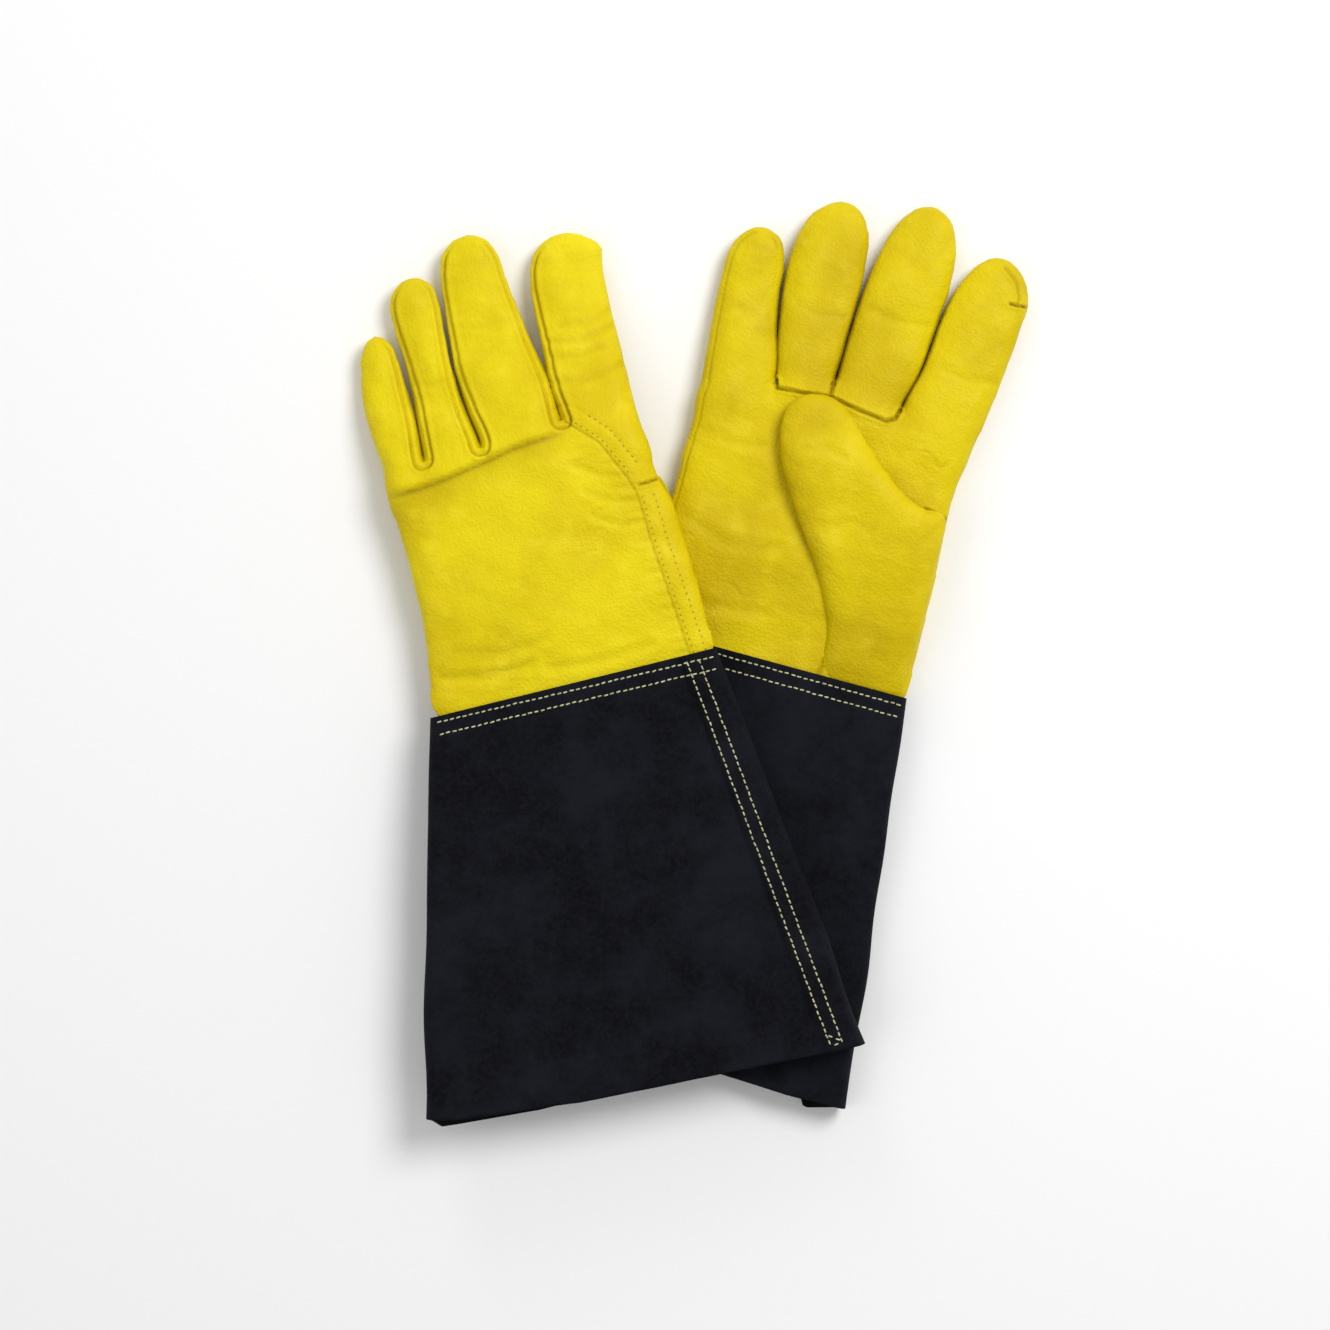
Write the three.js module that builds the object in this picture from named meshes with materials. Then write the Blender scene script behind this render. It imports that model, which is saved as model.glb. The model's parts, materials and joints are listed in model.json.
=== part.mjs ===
// A pair of long-cuffed leather welding gloves, laid flat one on the other.
//
// The right-hand glove lies palm up. The left-hand glove lies on its gauntlet, back of the
// hand up, with its thumb folded underneath. Each hand is grain leather: a back, a palm, a
// side strip below the index finger, and a winged thumb folded over the palm. The fingers
// have a back, a front and side strips. A gauntlet of split suede, cut in one piece and
// lapped along a seam near the thumb edge, is sewn over the wrist with two rows of thread.
//
// A glove is built in its own frame: u runs across the hand towards the thumb side, v from
// the wrist to the fingertips, and w through the glove from the back of the hand (0) to the
// palm. Lengths are millimetres and +Z is up. The origin is on the table under the middle
// of the pair.

import * as THREE from 'three';

// ---- Driving dimensions ----

const LEATHER = 1.4; // thickness of every hide
const GAP = 0.3; // clearance between pieces that are sewn to or rest on each other
const FLEX_GAP = 1.5; // slot across a knuckle, where the hide bends
const FINGER_GAP = 1.5; // slot between neighbouring fingers
const THREAD = 0.8; // thickness of a sewing thread
const ROW_SPACING = 5.6; // between the two rows of a double-stitched seam
const ROW_FROM_EDGE = 3.2; // from a cut edge to its first row

const GAUNTLET_LENGTH = 187;
const GAUNTLET_THICKNESS = 14;
const WRIST_WIDTH = 135; // the gauntlet's width where it meets the hand
const MOUTH_WIDTH = 204; // the gauntlet's width at the arm end
const MOUTH_SHIFT = -4.9; // how far the mouth's middle lies towards the little finger
const WRIST_LAP = 12; // how far the hand runs inside the gauntlet
const SEAM_LAP = 12; // how far the gauntlet's two long edges overlap
const SEAM_FROM_SIDE = 6; // from the gauntlet's thumb side to the buried edge of that seam

const HAND_THICKNESS = 16; // at the knuckles
const SIDE_ROUND = 9; // how far the rounding of a hand's side reaches into the flat
const GAUNTLET_ROUND = 4;
const WAIST = { v: 41, little: -62.5, thumb: 63.5 }; // the narrowest place of the hand
const KNUCKLE_HEIGHT = 118; // from the wrist to the knuckles
const WRIST_RAMP = 24; // height over which the hand swells out of the gauntlet
const FINGER_TIP_THICKNESS = 12;
const STRIP_SHARE = 0.13; // share of a finger's face given up to each side strip
const EDGE_SHARE = 0.012; // share of a finger's face left clear at a sewn edge
const FINGER_ROUND_SHARE = 0.75; // share of a finger's half width that is rounded

const THUMB_THICKNESS = 11;
const THUMB_TIP_WIDTH = 31;
const THUMB_FOLD = [[24, 0], [20, 24], [10.5, 41], [1, 57]]; // the wing's fold on the palm
const THUMB_CROTCH = [47.5, 88];
const WING_FOOT = 11; // width of the thumb's raised part at the wrist
const CROSS_SEAM = 84; // height of the seam across the thumb edge
const BACK_SEAM = [[55, 0], [44.5, CROSS_SEAM], [33, 104]]; // then on to the index crotch

const LIFT = 18; // height at which the upper glove lies

// Where the fingers grow out of each hand: the outer corner of the little finger, the three
// crotches and the outer corner of the index finger, then each fingertip and its width. The
// hidden thumb of the upper glove lies further across the palm, clear of its fingers.
const FINGER_NAMES = ['little', 'ring', 'middle', 'index'];
const LEFT_GLOVE = {
  name: 'left',
  palmUp: false,
  position: [-53.8, -8.1],
  turn: 11.5,
  knuckles: [[-67.3, 117], [-47.9, 112.5], [-20, 113], [18, 118], [54, 121]],
  tips: [[-59.5, 174.5], [-37, 197.5], [-9, 211.5], [35, 203]],
  tipWidths: [18, 22.5, 29, 33],
  thumbTip: [-24, 104],
};
const RIGHT_GLOVE = {
  name: 'right',
  palmUp: true,
  position: [34.5, 2],
  turn: -17.5,
  knuckles: [[-68.3, 117], [-34.6, 122], [-9, 129.5], [23.4, 126.5], [63, 134]],
  tips: [[-60.5, 189], [-29, 211.5], [10.5, 221.5], [49.5, 208]],
  tipWidths: [25, 31, 32, 31],
  thumbTip: [-14.5, 121.5],
};

// ---- Values that follow from them ----

const SHEET = LEATHER + GAP; // one hide and its clearance
const WRIST_HALF = WRIST_WIDTH / 2 - SHEET; // the hand fits inside the gauntlet
const MOUTH_HALF = MOUTH_WIDTH / 2;
const THUMB_RISE = THUMB_THICKNESS + GAP; // the thumb lies on the palm
const PALM_AT_WRIST = GAUNTLET_THICKNESS - SHEET;
const HINGE_FOOT = THUMB_FOLD[THUMB_FOLD.length - 1];

// ---- Helpers ----

const lerp = (a, b, t) => a + (b - a) * t;
const between = (p, q, t) => p.map((value, i) => lerp(value, q[i], t));

// The value at `x` on a line through points [value, x], carried on past both ends.
function along(points, x) {
  let i = 1;
  while (i < points.length - 1 && x > points[i][1]) i += 1;
  const [a, b] = [points[i - 1], points[i]];
  return lerp(a[0], b[0], (x - a[1]) / (b[1] - a[1]));
}

function material(color, roughness) {
  return new THREE.MeshStandardMaterial({ color, roughness, metalness: 0 });
}

const makeYellowLeather = () => material(0xe3cb14, 0.55);
const makeDarkSuede = () => material(0x17181e, 0.95);
const makeCreamThread = () => material(0xd9d48a, 0.7);
const makeYellowThread = () => material(0xb59a2a, 0.7);

// A hide cut to shape: a box whose grid of columns and rows is laid on the glove by
// pointAt(column, row, depth). Depth is 0 on the outer face and the thickness on the inner.
function makeSheet(columns, rows, thickness, pointAt) {
  const geometry = new THREE.BoxGeometry(1, 1, 1, columns, rows, 1);
  const position = geometry.attributes.position;
  for (let i = 0; i < position.count; i += 1) {
    const column = Math.round((position.getX(i) + 0.5) * columns);
    const row = Math.round((position.getY(i) + 0.5) * rows);
    const depth = position.getZ(i) > 0 ? 0 : thickness;
    position.setXYZ(i, ...pointAt(column, row, depth));
  }
  return faceOutward(geometry);
}

// Laying a sheet on a mirrored face turns it inside out, so its triangles are turned back.
function faceOutward(geometry) {
  const position = geometry.attributes.position;
  const index = geometry.index;
  const corner = (i) => new THREE.Vector3().fromBufferAttribute(position, index.getX(i));
  let volume = 0;
  for (let i = 0; i < index.count; i += 3) {
    volume += corner(i).dot(corner(i + 1).cross(corner(i + 2)));
  }
  if (volume < 0) {
    for (let i = 0; i < index.count; i += 3) {
      const second = index.getX(i + 1);
      index.setX(i + 1, index.getX(i + 2));
      index.setX(i + 2, second);
    }
  }
  geometry.computeVertexNormals();
  return geometry;
}

// A point on a flattened tube with rounded sides. `around` runs from 0 to 1 over the palm
// side, from the little-finger edge to the thumb edge, and from 1 to 2 back over the back of
// the hand. Each rounding takes ROUND_SHARE of a face. Gives the distance across from the
// middle and the height.
const ROUND_SHARE = 0.15;
const SEAM_SHARE = 0.003; // half a seam's clearance, as a share of the way around a hand
function onTube(around, half, round, low, high, depth) {
  const turns = ((around % 2) + 2) % 2;
  const palmSide = turns <= 1;
  const face = palmSide ? turns : 2 - turns;
  const outer = half - depth;
  const rise = (high - low) / 2 - depth;
  const flat = half - round;
  const fromEdge = Math.min(face, 1 - face);
  let across = lerp(-flat, flat, (face - ROUND_SHARE) / (1 - 2 * ROUND_SHARE));
  let height = rise;
  if (fromEdge < ROUND_SHARE) {
    const angle = (fromEdge / ROUND_SHARE) * (Math.PI / 2);
    across = Math.sign(face - 0.5) * (flat + (outer - flat) * Math.cos(angle));
    height = rise * Math.sin(angle);
  }
  return [across, (low + high) / 2 + (palmSide ? height : -height)];
}

// The place around a tube whose flat is `across` from the middle, on its palm side.
function aroundAt(across, half, round) {
  const flat = half - round;
  return ROUND_SHARE + ((across + flat) / (2 * flat)) * (1 - 2 * ROUND_SHARE);
}

const HALF_ROUNDING = [0, 0.05, 0.1, 0.15];
const THUMB_ROUNDING = [0.85, 0.9, 0.95, 1, 1.05, 1.1, 1.15];
const spread = (from, to, count) =>
  Array.from({ length: count }, (_, i) => lerp(from, to, i / (count - 1)));

// ---- One glove ----

function makeGlove(glove) {
  const group = new THREE.Group();
  group.name = `${glove.name}_glove`;
  group.position.set(glove.position[0], glove.position[1], 0);
  group.rotation.z = THREE.MathUtils.degToRad(glove.turn);

  // From the glove's own u, v, w to its place on the table.
  const lay = ([u, v, w]) => [u, v, glove.palmUp ? w : LIFT + GAUNTLET_THICKNESS - w];

  function add(name, geometry, finish) {
    const mesh = new THREE.Mesh(geometry, finish);
    mesh.name = `${glove.name}_${name}`;
    group.add(mesh);
  }

  // -- Gauntlet --

  const gauntletRow = (v) => {
    const down = -v / GAUNTLET_LENGTH;
    return { middle: MOUTH_SHIFT * down, half: lerp(WRIST_WIDTH / 2, MOUTH_HALF, down) };
  };
  const gauntletPoint = (around, v, depth) => {
    const { middle, half } = gauntletRow(v);
    const [across, w] = onTube(around, half, GAUNTLET_ROUND, 0, GAUNTLET_THICKNESS, depth);
    return lay([middle + across, v, w]);
  };
  // The place on the back face at a distance in from the thumb side.
  const fromThumbSide = (v, distance) => {
    const { half } = gauntletRow(v);
    return 2 - aroundAt(half - distance, half, GAUNTLET_ROUND);
  };

  function makeGauntlet() {
    const rows = spread(-GAUNTLET_LENGTH, 0, 6);
    const lapEdge = SEAM_FROM_SIDE + SEAM_LAP;
    const places = (v) => [
      fromThumbSide(v, SEAM_FROM_SIDE),
      fromThumbSide(v, lapEdge),
      fromThumbSide(v, lapEdge + SHEET),
      ...spread(fromThumbSide(v, lapEdge + SHEET), 2 - ROUND_SHARE, 6).slice(1),
      ...[1.9, 1.95, 2, 2.05, 2.1],
      ...spread(2 + ROUND_SHARE, 3 - ROUND_SHARE, 6),
      ...[2.9, 2.95, 3, 3.05, 3.1, 3.15],
      2 + fromThumbSide(v, lapEdge - GAP),
    ];
    const count = places(0).length;
    return makeSheet(count - 1, rows.length - 1, LEATHER, (column, row, depth) => {
      const buried = column < 2 ? SHEET : 0;
      return gauntletPoint(places(rows[row])[column], rows[row], depth + buried);
    });
  }
  add('gauntlet', makeGauntlet(), makeDarkSuede());

  // -- Hand --

  const little = glove.knuckles[0];
  const indexCorner = glove.knuckles[4];
  const littleEdge = [[-WRIST_HALF, 0], [WAIST.little, WAIST.v], little];
  const thumbEdge = [[WRIST_HALF, 0], [WAIST.thumb, WAIST.v], indexCorner];
  const backSeam = [...BACK_SEAM, [glove.knuckles[3][0] + 1, glove.knuckles[3][1]]];
  const palmHeight = (v) => lerp(PALM_AT_WRIST, HAND_THICKNESS, Math.max(v, 0) / KNUCKLE_HEIGHT);
  const backHeight = (v) => 2 * SHEET * THREE.MathUtils.clamp(1 - v / WRIST_RAMP, 0, 1);

  const handRow = (v) => {
    const low = along(littleEdge, Math.max(v, 0));
    const high = along(thumbEdge, Math.max(v, 0));
    return { middle: (low + high) / 2, half: (high - low) / 2 };
  };
  const handPlace = (u, v) => {
    const { middle, half } = handRow(v);
    return aroundAt(u - middle, half, SIDE_ROUND);
  };
  const handPoint = (around, v, depth) => {
    const { middle, half } = handRow(v);
    const [across, w] = onTube(
      around, half, SIDE_ROUND, backHeight(v), palmHeight(v), depth);
    return [middle + across, v, w];
  };
  // The line of the knuckles, at the place `around` the hand.
  const knuckleLine = (around) => {
    const u = handPoint(around, KNUCKLE_HEIGHT, 0)[0];
    const line = glove.knuckles.map(([a, b]) => [b, a]);
    return along(line, THREE.MathUtils.clamp(u, little[0], indexCorner[0])) - FLEX_GAP;
  };

  const HAND_ROWS = [-WRIST_LAP, 0, WRIST_RAMP, WAIST.v, 57, 72, 88, 104];
  // A panel of the hand. `columns` gives the places around the hand at a height v.
  function makeHandPanel(rows, columns) {
    const count = columns(0).length;
    return makeSheet(count - 1, rows.length, LEATHER, (column, row, depth) => {
      const top = row === rows.length;
      const v = top ? KNUCKLE_HEIGHT : rows[row];
      const around = columns(v)[column];
      return lay(handPoint(around, top ? knuckleLine(around) : v, depth));
    });
  }

  const backColumns = (v) => [
    ...spread(2 - handPlace(along(backSeam, v), v) + SEAM_SHARE, 2 - ROUND_SHARE, 7),
    ...[1.9, 1.95, 2 - SEAM_SHARE * 2],
  ];
  add('hand_back', makeHandPanel(HAND_ROWS, backColumns), makeYellowLeather());

  // The palm ends at the thumb's fold, then at the thumb's root, then at the thumb edge.
  const palmEnd = (v) => {
    const root = [HINGE_FOOT, THUMB_CROTCH];
    if (v < HINGE_FOOT[1]) return handPlace(along(THUMB_FOLD, Math.max(v, 0)) - GAP, v);
    if (v <= THUMB_CROTCH[1]) return handPlace(along(root, v) - GAP, v);
    return 1 - ROUND_SHARE - SEAM_SHARE;
  };
  const palmColumns = (v) => [
    ...[SEAM_SHARE * 2, 0.05, 0.1],
    ...spread(ROUND_SHARE, palmEnd(v), 6),
  ];
  add('palm', makeHandPanel(HAND_ROWS, palmColumns), makeYellowLeather());

  const sideColumns = (v) => [
    ...THUMB_ROUNDING,
    ...spread(1 + ROUND_SHARE, 2 - handPlace(along(backSeam, v), v) - SEAM_SHARE, 3).slice(1),
  ];
  const sideRows = [THUMB_CROTCH[1] + GAP, 104];
  add('index_side', makeHandPanel(sideRows, sideColumns), makeYellowLeather());

  // The wing: it rises off the palm along the fold, covers the palm side below the thumb and
  // wraps round the thumb edge to the seam on the back.
  const POUCH = [0, 0.12, 0.3, 0.5, 0.7, 0.88, 1];
  const WING_ROWS = [-WRIST_LAP, 0, WRIST_RAMP, WAIST.v, HINGE_FOOT[1]];
  function wingPouchPoint(share, row, depth) {
    const v = WING_ROWS[row];
    const up = Math.max(v, 0) / HINGE_FOOT[1];
    const fold = along(THUMB_FOLD, up * (HINGE_FOOT[1] - FLEX_GAP));
    const right = lerp(THUMB_FOLD[0][0] + WING_FOOT, THUMB_CROTCH[0], up);
    const height = v < 0 ? v : up * (lerp(HINGE_FOOT[1], THUMB_CROTCH[1], share) - FLEX_GAP);
    const rise = THUMB_RISE * up * Math.sqrt(1 - (2 * share - 1) ** 2);
    return [lerp(fold, right, share), height, palmHeight(height) + rise - depth];
  }
  function makeWing() {
    const edge = THUMB_ROUNDING.length;
    const count = POUCH.length + edge + 1;
    return makeSheet(count - 1, WING_ROWS.length - 1, LEATHER, (column, row, depth) => {
      if (column < POUCH.length) return lay(wingPouchPoint(POUCH[column], row, depth));
      const v = WING_ROWS[row] * (WING_ROWS[row] > 0 ? CROSS_SEAM / HINGE_FOOT[1] : 1);
      const seam = 2 - handPlace(along(backSeam, v), v) - SEAM_SHARE;
      const k = column - POUCH.length;
      return lay(handPoint(k < edge ? THUMB_ROUNDING[k] : seam, v, depth));
    });
  }
  add('thumb_wing', makeWing(), makeYellowLeather());

  // -- Fingers and thumb --

  // A finger is a tube from a root line to a rounded tip. `place` gives u and v from a
  // station: 0 to 1 along the straight part, and 1 to 2 round the tip.
  function makeTube(rootLeft, rootRight, tip, tipWidth, rootFace, tipFace) {
    const root = between(rootLeft, rootRight, 0.5);
    const direction = new THREE.Vector2(tip[0] - root[0], tip[1] - root[1]).normalize();
    const across = [direction.y, -direction.x];
    const radius = tipWidth / 2;
    const centre = [tip[0] - direction.x * radius, tip[1] - direction.y * radius];
    const rootHalf = [(rootRight[0] - rootLeft[0]) / 2, (rootRight[1] - rootLeft[1]) / 2];
    const tipHalf = across.map((value) => value * radius);
    return (around, station, depth) => {
      const share = Math.min(station, 1);
      const angle = (Math.max(station - 1, 0) * Math.PI) / 2;
      const shrink = Math.cos(angle);
      const half = between(rootHalf, tipHalf, share);
      const width = Math.hypot(...half);
      const face = between(rootFace, tipFace, share);
      const middle = (face[0] + face[1]) / 2;
      const rise = (face[1] - face[0]) / 2 - depth;
      const [x, z] = onTube(around, width - depth, width * FINGER_ROUND_SHARE, -rise, rise, 0);
      const reach = (radius - depth) * Math.sin(angle);
      const base = between(root, centre, share);
      const u = base[0] + (half[0] / width) * x * shrink + direction.x * reach;
      const v = base[1] + (half[1] / width) * x * shrink + direction.y * reach;
      return lay([u, v, middle + z * Math.sqrt(shrink)]);
    };
  }

  // A side strip narrows round the tip and ends before the faces meet there.
  const STATIONS = [0, 0.35, 0.7, 1, 1.4, 1.7, 1.96];
  const STRIP_END = 1.4;
  const FACES_MEET = 1.7;
  const STRIP_STATIONS = STATIONS.filter((station) => station <= STRIP_END);
  const stripShare = (station) =>
    STRIP_SHARE * Math.min(1, (FACES_MEET - station) / (FACES_MEET - 1));
  const sewnEdge = (station) => (station > STRIP_END ? 0 : stripShare(station)) + EDGE_SHARE;
  const foldedEdge = () => EDGE_SHARE;

  // A face of a finger, from one place around the tube to another.
  const FACE_CUTS = 7;
  const WRAP_CUTS = 16;
  function makeFace(tube, from, to, cuts) {
    return makeSheet(cuts, STATIONS.length - 1, LEATHER, (column, row, depth) => {
      const station = STATIONS[row];
      const place = lerp(from(station), to(station), column / cuts);
      return tube(place, station, depth);
    });
  }
  function makeStrip(tube, edge) {
    return makeSheet(2, STRIP_STATIONS.length - 1, LEATHER, (column, row, depth) => {
      const station = STRIP_STATIONS[row];
      const wide = stripShare(station) - EDGE_SHARE;
      return tube(edge + lerp(-wide, wide, column / 2), station, depth);
    });
  }

  FINGER_NAMES.forEach((finger, i) => {
    const start = glove.knuckles[i];
    const end = glove.knuckles[i + 1];
    const span = Math.hypot(end[0] - start[0], end[1] - start[1]);
    const inset = FINGER_GAP / 2 / span;
    // The upper glove's fingers slope down until their tips rest on the table.
    const tipBack = glove.palmUp ? 0 : LIFT + GAUNTLET_THICKNESS - FINGER_TIP_THICKNESS;
    const tube = makeTube(
      between(start, end, inset),
      between(start, end, 1 - inset),
      glove.tips[i],
      glove.tipWidths[i],
      [0, HAND_THICKNESS],
      [tipBack, tipBack + FINGER_TIP_THICKNESS],
    );
    const hasLittleStrip = i > 0;
    const hasThumbStrip = i < 3;
    const littleEdgeOf = hasLittleStrip ? sewnEdge : foldedEdge;
    const front = [littleEdgeOf, (station) => 1 - sewnEdge(station)];
    const back = [(station) => 1 + sewnEdge(station), (station) => 2 - littleEdgeOf(station)];
    if (hasThumbStrip) {
      add(`${finger}_front`, makeFace(tube, ...front, FACE_CUTS), makeYellowLeather());
      add(`${finger}_back`, makeFace(tube, ...back, FACE_CUTS), makeYellowLeather());
      add(`${finger}_thumb_side_strip`, makeStrip(tube, 1), makeYellowLeather());
    } else {
      // The index finger's front wraps round its outer side to become its back.
      const wrap = makeFace(tube, front[0], back[1], WRAP_CUTS);
      add(`${finger}_wrap`, wrap, makeYellowLeather());
    }
    if (hasLittleStrip) {
      add(`${finger}_little_side_strip`, makeStrip(tube, 0), makeYellowLeather());
    }
  });

  // The thumb clears the palm, which is thicker towards the knuckles, all along its length.
  const thumbFace = (v) => [palmHeight(v) + GAP * 2, palmHeight(v) + THUMB_RISE];
  const thumb = makeTube(
    HINGE_FOOT, THUMB_CROTCH, glove.thumbTip, THUMB_TIP_WIDTH,
    thumbFace(THUMB_CROTCH[1]),
    thumbFace(glove.thumbTip[1]),
  );
  const thumbFront = makeFace(thumb, () => 1 + EDGE_SHARE, () => 2 - EDGE_SHARE, FACE_CUTS);
  add('thumb_front', thumbFront, makeYellowLeather());
  const thumbBack = makeFace(thumb, foldedEdge, () => 1 - EDGE_SHARE, FACE_CUTS);
  add('thumb_back', thumbBack, makeYellowLeather());

  // -- Sewing threads, on the side that faces up --

  // A thread along a line of [u, v] places, lying on a face whose height is faceAt(v).
  const outward = glove.palmUp ? 1 : -1;
  function makeThread(line, faceAt) {
    return makeSheet(line.length - 1, 1, THREAD, (column, row, depth) => {
      const [u, v] = line[column];
      const before = line[Math.max(column - 1, 0)];
      const after = line[Math.min(column + 1, line.length - 1)];
      const direction = new THREE.Vector2(after[0] - before[0], after[1] - before[1]).normalize();
      const aside = THREAD * (row - 0.5);
      const height = faceAt(v) + outward * (GAP + depth);
      return lay([u - direction.y * aside, v + direction.x * aside, height]);
    });
  }

  const cuffFace = () => (glove.palmUp ? GAUNTLET_THICKNESS : 0);
  const cuffReach = WRIST_WIDTH / 2 - GAUNTLET_ROUND;
  const cuffLine = (v) => [[-cuffReach, v], [0, v], [cuffReach, v]];
  const cuffRows = { upper: ROW_FROM_EDGE, lower: ROW_FROM_EDGE + ROW_SPACING };
  Object.entries(cuffRows).forEach(([row, down]) => {
    add(`cuff_thread_${row}`, makeThread(cuffLine(-down), cuffFace), makeCreamThread());
  });

  // The seams on the back of a hand show only on the glove that lies back up.
  if (!glove.palmUp) {
    const lapTop = -cuffRows.lower - ROW_FROM_EDGE;
    const lapFoot = -GAUNTLET_LENGTH + ROW_FROM_EDGE;
    const lapRow = (inset) => [lapTop, lapFoot].map((v) => {
      const { middle, half } = gauntletRow(v);
      return [middle + half - SEAM_FROM_SIDE - inset, v];
    });
    const inner = SEAM_LAP - ROW_FROM_EDGE;
    const besideLap = { inner, outer: inner - ROW_SPACING };
    Object.entries(besideLap).forEach(([row, inset]) => {
      add(`lap_thread_${row}`, makeThread(lapRow(inset), () => 0), makeCreamThread());
    });
    const seamRow = (aside) => spread(WRIST_RAMP, CROSS_SEAM - ROW_FROM_EDGE, 3)
      .map((v) => [along(BACK_SEAM, v) + aside, v]);
    const besideSeam = { inner: ROW_FROM_EDGE / 2, outer: ROW_FROM_EDGE / 2 + ROW_SPACING };
    Object.entries(besideSeam).forEach(([row, aside]) => {
      const thread = makeThread(seamRow(aside), backHeight);
      add(`back_seam_thread_${row}`, thread, makeYellowThread());
    });
  }

  return group;
}

const pair = new THREE.Group();
pair.name = 'welding_gloves';
pair.add(makeGlove(RIGHT_GLOVE));
pair.add(makeGlove(LEFT_GLOVE));

export default pair;
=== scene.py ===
"""Looks of a pair of long-cuffed leather welding gloves, lying flat and overlapping."""

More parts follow.
